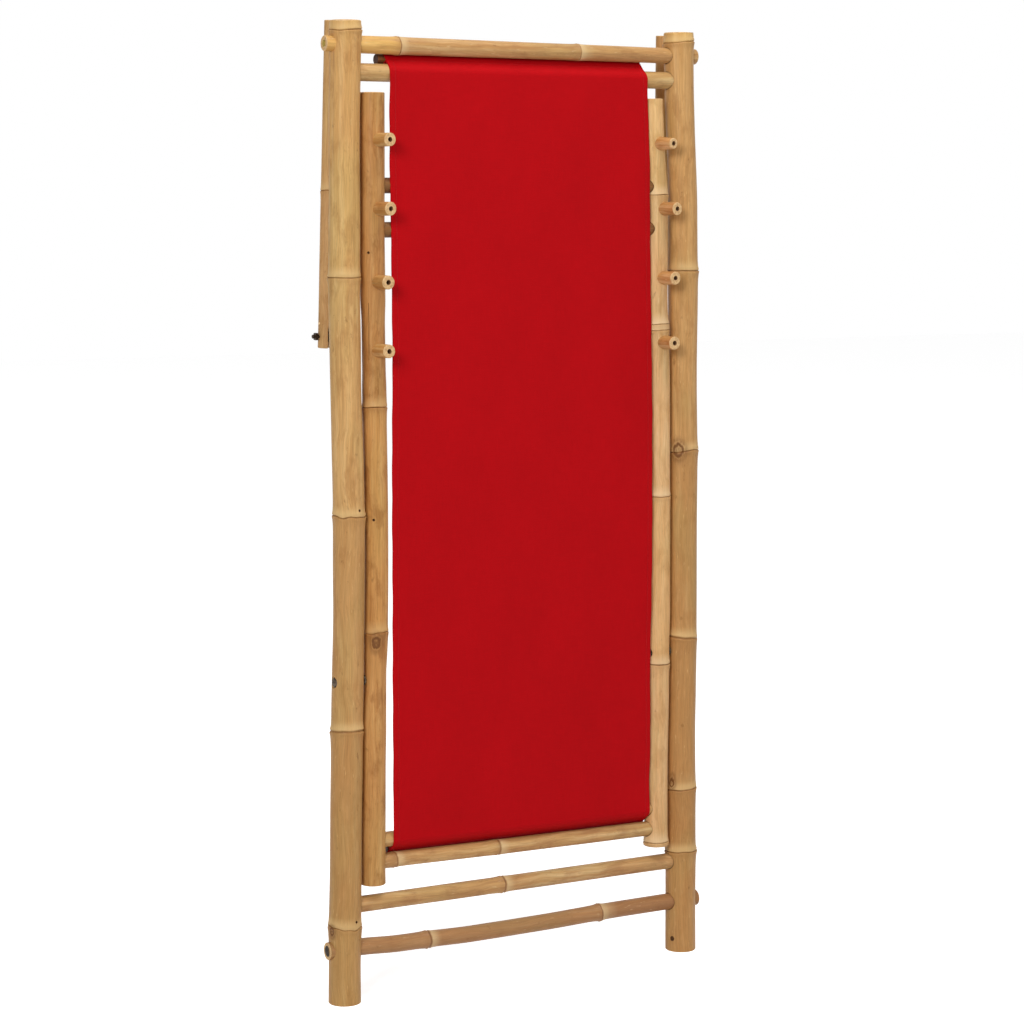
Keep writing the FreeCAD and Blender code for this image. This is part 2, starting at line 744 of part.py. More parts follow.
whole = Part.makeCompound(list(parts.values())).optimalBoundingBox(False)
shift = vec(-(whole.XMin + whole.XMax) / 2.0, -(whole.YMin + whole.YMax) / 2.0, 0)

os.makedirs("parts", exist_ok=True)
for name, shape in parts.items():
    shape.translate(shift)
    for solid in shape.Solids:
        if not solid.isValid():
            raise ValueError(name + " is not a valid solid")
    shape.exportStep("parts/" + name + ".step")

print("box", round(whole.XLength, 1), round(whole.YLength, 1), round(whole.ZLength, 1))
print("shift", round(shift.x, 3), round(shift.y, 3))
print("seat pivot y z", round(shift.y, 3), pivot_height)
print("prop pin y z", round(prop_pin_back + shift.y, 3), prop_pin_height)
for peg_height in peg_heights:
    seat_open, prop_open = open_angles(peg_height)
    print("peg", round(peg_height, 1), "seat", round(seat_open, 2), "prop", round(prop_open, 2))
print("nodes", len(parts))
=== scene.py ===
import bmesh
import bpy
import itertools
import math
import numpy as np
from bpy.props import FloatProperty, FloatVectorProperty, PointerProperty
from bpy.types import NodeSocket, Operator, Panel, PropertyGroup
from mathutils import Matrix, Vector
from mathutils.kdtree import KDTree


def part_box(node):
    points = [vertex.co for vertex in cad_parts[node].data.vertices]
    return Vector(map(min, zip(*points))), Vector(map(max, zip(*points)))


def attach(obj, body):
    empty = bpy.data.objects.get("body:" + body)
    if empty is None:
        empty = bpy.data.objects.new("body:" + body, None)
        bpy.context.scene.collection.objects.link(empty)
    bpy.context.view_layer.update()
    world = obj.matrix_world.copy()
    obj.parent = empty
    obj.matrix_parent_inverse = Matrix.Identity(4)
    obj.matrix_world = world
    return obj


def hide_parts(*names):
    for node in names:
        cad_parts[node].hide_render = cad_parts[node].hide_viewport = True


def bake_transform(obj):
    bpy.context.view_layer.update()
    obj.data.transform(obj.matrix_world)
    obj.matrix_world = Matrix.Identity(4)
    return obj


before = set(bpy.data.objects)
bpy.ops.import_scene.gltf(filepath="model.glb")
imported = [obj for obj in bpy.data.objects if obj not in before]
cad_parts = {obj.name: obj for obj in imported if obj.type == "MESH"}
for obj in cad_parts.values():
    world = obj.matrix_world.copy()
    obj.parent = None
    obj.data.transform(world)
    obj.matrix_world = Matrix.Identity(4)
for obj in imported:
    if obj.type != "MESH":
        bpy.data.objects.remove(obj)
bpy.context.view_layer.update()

bl_info = {
    "name": "Bamboo Deck Chair",
    "version": (1, 0, 0),
    "blender": (4, 5, 0),
    "location": "3D View > Sidebar > Deck Chair",
    "description": "Dresses the frame of a folding bamboo deck chair with a canvas sling",
    "category": "Object",
}

MM = 0.001
TURN = 2.0 * math.pi
ACROSS, FORWARD, UP = Vector((1, 0, 0)), Vector((0, -1, 0)), Vector((0, 0, 1))
SKIN, CUT_END, BORE = range(3)  # material slots of a culm
SHARP = math.radians(40.0)  # edges sharper than this aren't smoothed

# Radii in mm that are fitted to the photo and that more than one piece uses
SLING_RAIL_R, SLING_RUNG_R, FRONT_RUNG_R, BRACE_R = 11.6, 9.6, 9.8, 10.2
UPPER_FOOT_RUNG_R, LOWER_FOOT_RUNG_R = 10.4, 10.7
UPPER_DOWEL_R, LOWER_DOWEL_R = 7.0, 6.0
RIGHT_DROP = 3.6  # mm that the seat frame's lower right corner hangs lower

# The photo's frame in pixels, and the row at the camera's own height
PICTURE_SIZE, EYE_LEVEL_ROW = 1024.0, 208.0


def screen(*values):
    """A colour given as a screen shows it, 0 to 255, in Blender's linear values."""
    parts = (value / 255.0 for value in values)
    return tuple(v / 12.92 if v <= 0.04045 else ((v + 0.055) / 1.055) ** 2.4 for v in parts)


def colour(name, description, *values):
    return FloatVectorProperty(
        name=name, description=description, subtype="COLOR", size=3, min=0.0, max=1.0,
        default=screen(*values),
    )


def length(name, description, millimetres):
    return FloatProperty(
        name=name, description=description, subtype="DISTANCE", unit="LENGTH", min=0.0,
        default=millimetres * MM, precision=5,
    )


def power(name, description, watts):
    return FloatProperty(name=name, description=description, unit="POWER", default=watts)


class DECKCHAIR_PG_bamboo(PropertyGroup):
    """Sizes and colours of the bamboo culms."""

    post_tan: colour("Post tan", "Main colour of the two posts", 204, 162, 104)
    post_pale: colour("Post pale", "Light bands and node collars of the posts", 224, 188, 130)
    post_deep: colour("Post deep", "Dark streaks of the posts", 174, 128, 76)
    rail_tan: colour("Rail tan", "Main colour of the rails and rungs", 192, 151, 99)
    rail_pale: colour("Rail pale", "Light bands of the rails and rungs", 220, 190, 142)
    rail_deep: colour("Rail deep", "Dark streaks of the rails and rungs", 156, 112, 72)
    seat_tan: colour("Seat pole tan", "Main colour of the left seat pole", 194, 145, 87)
    seat_pale: colour("Seat pole pale", "Light bands of the left seat pole", 212, 170, 112)
    seat_deep: colour("Seat pole deep", "Dark streaks of the left seat pole", 152, 101, 54)
    right_tan: colour("Right pole tan", "Main colour of the right seat pole", 216, 176, 126)
    right_pale: colour("Right pole pale", "Light bands of the right seat pole", 232, 200, 154)
    right_deep: colour("Right pole deep", "Dark streaks of the right seat pole", 192, 148, 96)
    # The brace rungs' colour is darkened as painted shade, the shade they stand in behind the
    # canvas
    brace_shade_tan: colour("Brace tan", "Main colour of the two brace rungs", 138, 104, 66)
    peg_tan: colour("Peg tan", "Main colour of the pegs", 184, 138, 84)
    prop_tan: colour("Prop tan", "Main colour of the prop frame", 198, 156, 106)
    # The dowels' colours are darkened as painted shade, the shade inside the sleeves
    dowel_shade_brown: colour("Dowel brown", "Main colour of the two dowels", 112, 70, 46)
    dowel_shade_deep: colour("Dowel deep", "Dark streaks of the dowels", 70, 38, 24)
    node_dark: colour("Node line", "The dark line at each node", 104, 62, 30)
    node_swell: length("Node swell", "How far a node of a post stands out", 1.5)
    thin_swell: length("Thin node swell", "How far a node of a rung stands out", 0.9)
    unevenness: length("Unevenness", "How far a culm's wall wanders in and out", 0.35)
    wander: length("Wander", "How far a culm's middle line wanders from node to node", 0.5)
    edge: length("Edge", "Width of the broken edge at a cut end", 0.9)
    gloss: FloatProperty(
        name="Roughness", description="Roughness of the culms' skin", subtype="FACTOR",
        min=0.0, max=1.0, default=0.42,
    )


class DECKCHAIR_PG_canvas(PropertyGroup):
    """Sizes and colours of the canvas sling."""

    red: colour("Red", "Colour of the canvas", 196, 4, 16)
    dark_red: colour("Dark red", "Colour between the threads and along the hems", 160, 1, 8)
    thread_red: colour("Thread", "Colour of the sewing thread", 196, 6, 18)
    width: length("Width", "Width of the finished sling", 390.0)
    thickness: length("Thickness", "Thickness of one layer of canvas", 0.9)
    hem_width: length("Hem width", "Width of the side hems", 9.0)
    seam_inset: length("Seam inset", "Distance of the hem's stitches from the edge", 7.4)
    thread_pitch: length("Thread pitch", "Distance between two threads of the weave", 0.9)
    stitch_length: length("Stitch length", "Length of one stitch", 2.6)
    stitch_pitch: length("Stitch pitch", "Distance from one stitch to the next", 3.6)
    stitch_radius: length("Stitch radius", "Half the thickness of the sewing thread", 0.2)


class DECKCHAIR_PG_metal(PropertyGroup):
    """Colours of the metal parts."""

    steel: colour("Steel", "Colour of the bolts, nuts, pins and screw eyes", 96, 84, 72)
    tarnish: colour("Tarnish", "Dark film on the steel", 44, 34, 26)
    brass: colour("Brass", "Colour of the tacks", 214, 182, 138)


class DECKCHAIR_PG_stage(PropertyGroup):
    """The floor, the lamps and the camera."""

    floor: colour("Floor", "Colour of the floor", 240, 240, 240)
    distance: length("Camera distance", "From the camera to the middle of the left post", 3450.0)
    aside: length("Camera aside", "How far the left post lies left of the view's middle", 209.2)
    eye_height: length("Eye height", "Height of the camera above the floor", 1011.0)
    heading: FloatProperty(
        name="Heading", description="How far the camera stands to the left of the chair's front",
        subtype="ANGLE", default=math.radians(29.5),
    )
    lens: FloatProperty(
        name="Lens", description="Focal length of the camera", subtype="DISTANCE_CAMERA",
        default=95.22,
    )
    key_power: power("Key power", "Power of the main lamp", 92.0)
    fill_power: power("Fill power", "Power of the lamp on the right", 21.0)
    top_power: power("Top power", "Power of the lamp above", 56.0)
    sky: FloatProperty(
        name="Sky", description="How strongly the white room lights the chair", default=0.22
    )


class Nodes:
    """Builds the nodes of one tree. An input is a number, a colour, a vector or an output."""

    def __init__(self, tree):
        self.tree = tree

    def put(self, value, socket):
        if isinstance(value, NodeSocket):
            self.tree.links.new(value, socket)
        elif socket.type == "RGBA":
            socket.default_value = (*value[:3], 1.0)
        else:
            socket.default_value = value

    def add(self, kind, inputs=None, **settings):
        made = self.tree.nodes.new(kind)
        for name, value in settings.items():
            setattr(made, name, value)
        for key, value in (inputs or {}).items():
            self.put(value, made.inputs[key])
        return made

    def math(self, operation, *values, clamp=False):
        inputs = dict(enumerate(values))
        return self.add("ShaderNodeMath", inputs, operation=operation, use_clamp=clamp).outputs[0]

    def times(self, first, second, clamp=False):
        return self.math("MULTIPLY", first, second, clamp=clamp)

    def plus(self, total, *more):
        for value in more:
            total = self.math("ADD", total, value)
        return total

    def minus(self, first, second):
        return self.math("SUBTRACT", first, second)

    def ripple(self, value):
        """The sine of a value, without its sign."""
        return self.math("ABSOLUTE", self.math("SINE", value))

    def split(self, vector):
        return self.add("ShaderNodeSeparateXYZ", {0: vector}).outputs[:3]

    def noise(self, place, scale, detail=3.0, roughness=0.55):
        """Noise with its own scale along each axis."""
        place = self.add("ShaderNodeVectorMath", {0: place, 1: scale}, operation="MULTIPLY")
        inputs = {
            "Vector": place.outputs[0], "Scale": 1.0, "Detail": detail, "Roughness": roughness
        }
        return self.add("ShaderNodeTexNoise", inputs).outputs["Fac"]

    def spread(self, value, low, high, to_low=0.0, to_high=1.0):
        """Maps low..high smoothly onto to_low..to_high."""
        inputs = {
            "Value": value, "From Min": low, "From Max": high, "To Min": to_low, "To Max": to_high
        }
        made = self.add("ShaderNodeMapRange", inputs, interpolation_type="SMOOTHSTEP")
        return made.outputs["Result"]

    def blend(self, amount, first, second, kind="MIX"):
        inputs = {0: amount, 6: first, 7: second}
        return self.add("ShaderNodeMix", inputs, data_type="RGBA", blend_type=kind).outputs[2]

    def stored(self, name, output):
        """A value that the mesh carries under that name."""
        return self.add("ShaderNodeAttribute", attribute_name=name).outputs[output]

    def here(self):
        return self.add("ShaderNodeTexCoord").outputs["Object"]

    def bump(self, height, strength, depth, shader):
        inputs = {"Strength": strength, "Distance": depth, "Height": height}
        self.put(self.add("ShaderNodeBump", inputs).outputs["Normal"], shader.inputs["Normal"])


def shared_group(name, inputs, outputs):
    """Turns a function that adds nodes and returns outputs into a node group, built once."""

    def wrap(build):
        def get():
            if name in bpy.data.node_groups:
                return bpy.data.node_groups[name]
            tree = bpy.data.node_groups.new(name, "ShaderNodeTree")
            for in_out, sockets in (("INPUT", inputs), ("OUTPUT", outputs)):
                for title, kind in sockets.items():
                    tree.interface.new_socket(
                        name=title, in_out=in_out, socket_type="NodeSocket" + kind
                    )
            given = tree.nodes.new("NodeGroupInput").outputs
            result = tree.nodes.new("NodeGroupOutput").inputs
            for title, value in zip(outputs, build(Nodes(tree), *given[: len(inputs)])):
                tree.links.new(value, result[title])
            return tree

        return get

    return wrap


LOOKS = {"Color": "Color", "Roughness": "Float", "Height": "Float"}


@shared_group(
    "Bamboo Skin",
    {
        "Place": "Vector", "Marks": "Vector", "Grown": "Vector", "Tan": "Color", "Pale": "Color",
        "Deep": "Color", "Dark": "Color", "Grain": "Float", "Mottling": "Float",
    },
    LOOKS,
)
def bamboo_skin(n, place, marks, grown, tan, pale, deep, dark, grain, mottling):
    """Grain, mottling, stains and node bands of a culm's skin."""
    collar, under, line = n.split(marks)
    yellow, shade, scar = n.split(grown)
    drift = n.times(n.noise(place, (4, 4, 11), 2.0), 0.012)
    drift = n.add("ShaderNodeCombineXYZ", {0: drift, 1: drift}).outputs[0]
    place = n.add("ShaderNodeVectorMath", {0: place, 1: drift}).outputs[0]
    fibres = n.noise(place, (900, 900, 30), 4.0, 0.62)
    bands = n.noise(place, (150, 150, 6), 4.0, 0.6)
    patches = n.noise(place, (52, 52, 24), 5.0, 0.62)
    hue = n.noise(place, (22, 22, 7), 2.0, 0.5)
    stringy = n.noise(place, (260, 260, 110), 3.0, 0.6)
    stains = n.spread(n.noise(place, (120, 120, 60), 5.0, 0.65), 0.62, 0.74)
    flecks = n.spread(n.noise(place, (620, 620, 210), 2.0, 0.5), 0.70, 0.78)
    dashes = n.spread(n.noise(place, (430, 430, 75), 2.0, 0.5), 0.66, 0.76)

    base = tan
    for mask, amount, tint in (
        (n.spread(bands, 0.46, 0.74), 0.75, pale),
        (n.spread(bands, 0.50, 0.30), 0.55, deep),
        (n.spread(patches, 0.48, 0.66), mottling, deep),
    ):
        base = n.blend(n.times(mask, amount), base, tint)
    # A tone's shade darkens the skin towards deep, and a negative one pales it; on the braces and
    # the left seat pole's top it is painted shade
    base = n.blend(n.times(shade, 1.0, clamp=True), base, deep)
    base = n.blend(n.times(shade, -1.0, clamp=True), base, pale)
    warm = n.blend(n.spread(hue, 0.42, 0.62), (1.03, 0.965, 0.93), (0.99, 1.01, 0.96))
    base = n.blend(0.85, base, warm, "MULTIPLY")
    base = n.blend(yellow, base, n.blend(1.0, base, (1.12, 1.04, 0.66), "MULTIPLY"))
    depth = n.spread(fibres, 0.25, 0.75, 0.82, 1.12)
    depth = n.add("ShaderNodeCombineColor", {0: depth, 1: depth, 2: depth}).outputs[0]
    base = n.blend(grain, base, n.blend(1.0, base, depth, "MULTIPLY"))
    for mask, amount, tint in (
        (dashes, 0.4, pale), (stains, 0.42, dark), (flecks, 0.35, dark), (collar, 0.62, pale),
        (under, 0.34, deep),
    ):
        base = n.blend(n.times(mask, amount), base, tint)
    groove = n.times(line, n.times(patches, 1.7), clamp=True)
    base = n.blend(groove, base, dark)
    worn = n.plus(scar, n.times(n.minus(stringy, 0.5), 0.5))
    rings = n.spread(n.ripple(n.times(worn, 7.0)), 0.0, 1.0, 0.35, 0.9)
    base = n.blend(n.times(n.times(scar, 1.8, clamp=True), rings), base, dark)

    rough = n.plus(
        n.spread(patches, 0.3, 0.7, -0.07, 0.09), n.spread(fibres, 0.3, 0.7, -0.03, 0.05),
        n.times(groove, 0.25),
    )
    ridges = n.plus(n.times(fibres, 0.55), n.times(bands, 0.5), n.times(stains, -0.25))
    return base, rough, n.minus(ridges, groove)


@shared_group(
    "Cut Fibres",
    {"Place": "Vector", "Wood": "Color", "Fibre": "Color", "Amount": "Float"},
    {"Color": "Color", "Height": "Float"},
)
def cut_fibres(n, place, wood, fibre, amount):
    """Dark fibre bundles in paler wood, as a sawn culm shows them."""
    dots = n.add("ShaderNodeTexVoronoi", {"Vector": place, "Scale": 1150.0, "Randomness": 0.9})
    bundles = n.spread(dots.outputs["Distance"], 0.42, 0.18)
    cloudy = n.noise(place, (260, 260, 260))
    saw = n.noise(place, (2400, 240, 800), 2.0)
    base = n.blend(n.spread(cloudy, 0.4, 0.7, 0.0, 0.5), wood, fibre)
    base = n.blend(n.times(bundles, amount), base, fibre)
    return base, n.plus(n.times(saw, 0.7), n.times(bundles, 0.4))


@shared_group(
    "Plain Weave",
    {
        "Place": "Vector", "Edge": "Float", "Seam": "Float", "Threads": "Float",
        "Cloth": "Color", "Gap": "Color",
    },
    LOOKS,
)
def plain_weave(n, place, edge, seam, threads, cloth, gap):
    """A plain weave with slubs and a little fuzz, darker at its edge and along its seam."""
    turns = n.times(threads, math.pi)
    wobble = n.times(n.noise(place, (60, 60, 60), 2.0), 1.2)
    weft, warp = (n.ripple(n.plus(n.times(way, turns), wobble)) for way in n.split(place)[:2])
    over = n.times(weft, warp)
    slubs, ribs = n.noise(place, (900, 45, 1)), n.noise(place, (45, 900, 1))
    fuzz = n.noise(place, (2600, 2600, 1), 2.0)
    clouds = n.noise(place, (14, 7, 1))
    uneven = n.plus(n.times(slubs, 0.5), n.times(ribs, 0.5))
    shade = n.plus(n.times(over, 0.55), n.times(uneven, 0.5), n.times(clouds, 0.25))
    base = n.blend(n.spread(shade, 0.30, 0.85), gap, cloth)
    sewn = n.math("ABSOLUTE", n.minus(edge, seam))
    base = n.blend(n.times(n.spread(sewn, 1.2, 0.1), 0.35), base, gap)
    base = n.blend(n.times(n.spread(edge, 1.2, 0.0), 0.3), base, gap)
    height = n.plus(over, n.times(uneven, 0.8), n.times(fuzz, 0.25))
    return base, n.spread(fuzz, 0.3, 0.7, -0.05, 0.06), height


@shared_group(
    "Metal Wear",
    {"Place": "Vector", "Metal": "Color", "Tarnish": "Color", "Amount": "Float"},
    LOOKS,
)
def metal_wear(n, place, metal, tarnish, amount):
    """Tarnish and fine scratches on a small metal part."""
    film = n.noise(place, (420, 420, 420), 4.0, 0.6)
    pits = n.noise(place, (1900, 1900, 1900))
    lines = n.noise(place, (400, 3200, 2400), 2.0)
    base = n.blend(n.times(n.spread(film, 0.38, 0.62), amount), metal, tarnish)
    base = n.blend(n.spread(pits, 0.64, 0.74, 0.0, 0.6), base, tarnish)
    rough = n.plus(n.spread(film, 0.3, 0.7, 0.0, 0.22), n.spread(lines, 0.4, 0.7, 0.0, 0.1))
    return base, rough, n.plus(lines, pits)


def new_material(name):
    """A material, its node builder and its shader."""
    material = bpy.data.materials.new(name)
    material.use_nodes = True
    return material, Nodes(material.node_tree), material.node_tree.nodes["Principled BSDF"]


def surface(name, group, inputs, rough, strength, depth, coat=0.0, constants=None):
    """A material whose colour, height and roughness come from a node group.

    An input that is a word is a value that the mesh carries; None is the place on the piece.
    """
    if name in bpy.data.materials:
        return bpy.data.materials[name]
    material, n, shader = new_material(name)
    made = n.add("ShaderNodeGroup", node_tree=group, label=group.name)
    for key, value in inputs.items():
        socket = made.inputs[key]
        if value is None:
            value = n.here()
        elif isinstance(value, str):
            value = n.stored(value, "Vector" if socket.type == "VECTOR" else "Fac")
        n.put(value, socket)
    n.put(made.outputs["Color"], shader.inputs["Base Color"])
    if "Roughness" in made.outputs:
        rough = n.plus(made.outputs["Roughness"], rough)
    n.put(rough, shader.inputs["Roughness"])
    n.bump(made.outputs["Height"], strength, depth, shader)
    if coat:
        turned = n.add("ShaderNodeLayerWeight", {"Blend": 0.5}).outputs["Facing"]
        n.put(n.spread(turned, 0.55, 0.85, 3.0 * coat, 0.0), shader.inputs["Coat Weight"])
    for key, value in (constants or {}).items():
        shader.inputs[key].default_value = value
    return material


# Looks of each kind of skin: tan, pale and deep colours, grain, mottling and coat
SKINS = {
    "post_bamboo": ("post_tan", "post_pale", "post_deep", 0.9, 0.52, 0.04),
    "rail_bamboo": ("rail_tan", "rail_pale", "rail_deep", 0.7, 0.50, 0.08),
    "seat_bamboo": ("seat_tan", "seat_pale", "seat_deep", 0.8, 0.60, 0.06),
    "pale_bamboo": ("right_tan", "right_pale", "right_deep", 0.8, 0.50, 0.06),
    # The braces' skin: dark tints that hold painted shade from the canvas in front of them
    "brace_shade_bamboo": ("brace_shade_tan", "seat_deep", "dowel_shade_brown", 0.8, 0.50, 0.0),
    "peg_bamboo": ("peg_tan", "rail_pale", "seat_deep", 0.7, 0.50, 0.03),
    "prop_bamboo": ("prop_tan", "post_pale", "post_deep", 0.7, 0.55, 0.04),
    # The dowels' skin: dark browns that hold painted shade inside the sleeves
    "dowel_wood": ("dowel_shade_brown", "seat_deep", "dowel_shade_deep", 0.7, 0.50, 0.0),
}


def skin_of(skin):
    """The skin material of one kind of culm."""
    bamboo = bpy.context.scene.deck_chair_bamboo
    *tints, grain, mottling, coat = SKINS[skin]
    tan, pale, deep = (getattr(bamboo, tint) for tint in tints)
    inputs = {
        "Place": "culm_place", "Marks": "node_marks", "Grown": "grown", "Tan": tan,
        "Pale": pale, "Deep": deep, "Dark": bamboo.node_dark, "Grain": grain,
        "Mottling": mottling,
    }
    gloss = {"Specular IOR Level": 0.08, "Coat Roughness": 0.35}
    return surface(
        "skin_" + skin, bamboo_skin(), inputs, bamboo.gloss, 0.55, 0.3 * MM, coat, gloss
    )


# Sawn wood: its place, then amount of fibres, roughness, bump, depth, and (wood, fibre) tints
SAWN = {
    "cut_end": ("culm_place", 0.7, 0.72, 0.5, 0.3 * MM, {
        "pale": ((222, 184, 130), (166, 118, 70)),
        # The brown cut end, used for the dowels, is darkened as painted shade at the sleeves' ends
        "brown": ((84, 54, 40), (48, 28, 20)),
    }),
    "bamboo_bore": (None, 0.5, 0.85, 0.6, 0.4 * MM, {
        "brown": ((112, 74, 40), (58, 32, 14)),
        "olive": ((196, 172, 92), (132, 110, 48)),
        "grey": ((92, 86, 80), (56, 52, 48)),
    }),
}


def sawn_wood(kind, tint):
    """The wood at a culm's cut end or in its bore."""
    place, amount, rough, strength, depth, tints = SAWN[kind]
    wood, fibre = (screen(*values) for values in tints[tint])
    inputs = {"Place": place, "Wood": wood, "Fibre": fibre, "Amount": amount}
    return surface(kind + "_" + tint, cut_fibres(), inputs, rough, strength, depth)


# Growing culms

# Rings on either side of a node, and how far the wall stands out there, in mm and shares
HALF_RINGS = (0.35, 0.7, 1.1, 1.7, 2.4, 3.3, 4.4, 5.8, 7.5, 9.5, 12, 15, 19, 24)
NODE_REACH = HALF_RINGS[-1] * MM
NODE_RINGS = np.array((*(-far for far in HALF_RINGS[::-1]), 0, *HALF_RINGS)) * MM
NODE_SHAPE = np.array((
    (-24, 0.0), (-16, 0.10), (-10, 0.27), (-6, 0.50), (-3.5, 0.82), (-1.7, 1.0),
    (-0.8, 0.80), (-0.3, 0.15), (0.0, 0.0), (0.35, 0.18), (0.8, 0.60), (1.7, 0.76),
    (3.3, 0.62), (6, 0.36), (10, 0.18), (16, 0.06), (24, 0.0),
)).T

# The groove above a node: heading of the first, depth as a share of the wall's radius, width
GROOVE_TURN, GROOVE_DEPTH, GROOVE_WIDTH, GROOVE_LENGTH = 70.0, 0.030, 0.42, 85 * MM
UNEVEN_R = 20 * MM  # the radius at which a culm is as uneven as its setting says

# How the long culms bend: height in metres, and millimetres to the right of the straight line.
# For a culm that lies across: distance from its left end, and millimetres down.
LOW_RIGHT = ((0, 0), (0.400, RIGHT_DROP))
BENDS = {
    "back_post_left": (
        (0, -4.2), (0.094, -3.9), (0.175, -3.0), (0.290, -1.8), (0.346, -1.5), (0.408, 0),
        (0.490, 1.0), (0.618, 1.4), (0.690, -0.3), (0.740, -1.5), (0.790, -2.9), (0.890, -4.8),
        (1.135, -5.0), (1.250, -3.3),
    ),
    "back_post_right": (
        (0, -1.3), (0.293, -1.3), (0.345, 0), (0.408, 0.3), (0.500, 1.3), (0.780, 1.5),
        (0.860, 2.7), (1.020, 2.5), (1.062, 1.3), (1.130, -2.2), (1.170, -4.0), (1.250, -4.7),
    ),
    "foot_rung_lower": (
        (0, 0), (0.050, 0), (0.095, 3.0), (0.142, 3.2), (0.197, 5.0), (0.260, 4.8),
        (0.331, 4.0), (0.417, 1.4), (0.550, 0.8),
    ),
    "sling_rung": LOW_RIGHT,
    "front_rung": LOW_RIGHT,
    "sleeve_dowel_lower": ((0, 0.1), (0.386, 3.5)),
    "prop_pole_right": (
        (0.830, 0.0), (0.880, 0.0), (0.920, 3.6), (1.080, 3.6), (1.160, 1.6), (1.250, 0.4),
    ),
    "seat_pole_left": (
        (0.146, -2.0), (0.180, -2.4), (0.300, -2.0), (0.375, -0.6), (0.395, 0.2),
        (0.421, 0.2), (0.466, 1.8), (0.540, 2.3), (0.590, 2.2), (0.690, 0.7), (0.756, -0.4),
        (0.893, -2.4), (0.970, -3.6), (1.159, -3.6),
    ),
    "seat_pole_right": (
        (0.146, -2.9), (0.200, -2.8), (0.239, -2.2), (0.293, -1.3), (0.347, 0), (0.395, 0.2),
        (0.421, 0.2), (0.455, 2.0), (0.779, 2.0), (0.887, -1.8), (1.000, -1.8), (1.031, -2.5),
        (1.083, -6.5), (1.108, -7.8), (1.159, -9.7),
    ),
}


def bend_at(node, place):
    """How far a culm stands off its straight line there, in metres: its bends are rounded."""
    places, sides = np.array(BENDS[node]).T
    reach = 12 * MM
    return sum(np.interp(place + near, places, sides) for near in (-reach, 0.0, reach)) / 3.0 * MM


def smooth_step(value):
    value = np.clip(value, 0.0, 1.0)
    return value * value * (3.0 - 2.0 * value)


def turned_from(turn, heading):
    """The angle from a heading in degrees, between minus and plus half a turn."""
    return (turn - math.radians(heading) + math.pi) % TURN - math.pi


def ring_places(total, nodes, fine, step, edge):
    """Places of the rings along a culm, close together round its nodes."""
    reach = NODE_REACH * fine
    places = {
        z
        for z in np.linspace(edge, total - edge, max(2, int(total / step)))
        if all(abs(z - node) > reach for node in nodes)
    }
    for node in nodes:
        for offset in NODE_RINGS * fine:
            own = all(abs(node + offset - other) >= abs(offset) for other in nodes)
            if own and edge < node + offset < total - edge:
                places.add(node + offset)
    kept = []
    for place in sorted(places | {edge, total - edge}):
        if not kept or place - kept[-1] > 0.12 * MM:
            kept.append(place)
    return np.array(kept)


def tube_faces(rings, sides):
    """The quads between rings that have the same number of corners."""
    after = [(side + 1) % sides for side in range(sides)]
    return [
        (low + side, low + after[side], low + sides + after[side], low + sides + side)
        for low in range(0, (rings - 1) * sides, sides)
        for side in range(sides)
    ]


def write_attribute(data, name, kind, field, values):
    if name in data.attributes:
        data.attributes.remove(data.attributes[name])
    made = data.attributes.new(name, kind, "POINT")
    made.data.foreach_set(field, np.asarray(values, float).ravel())


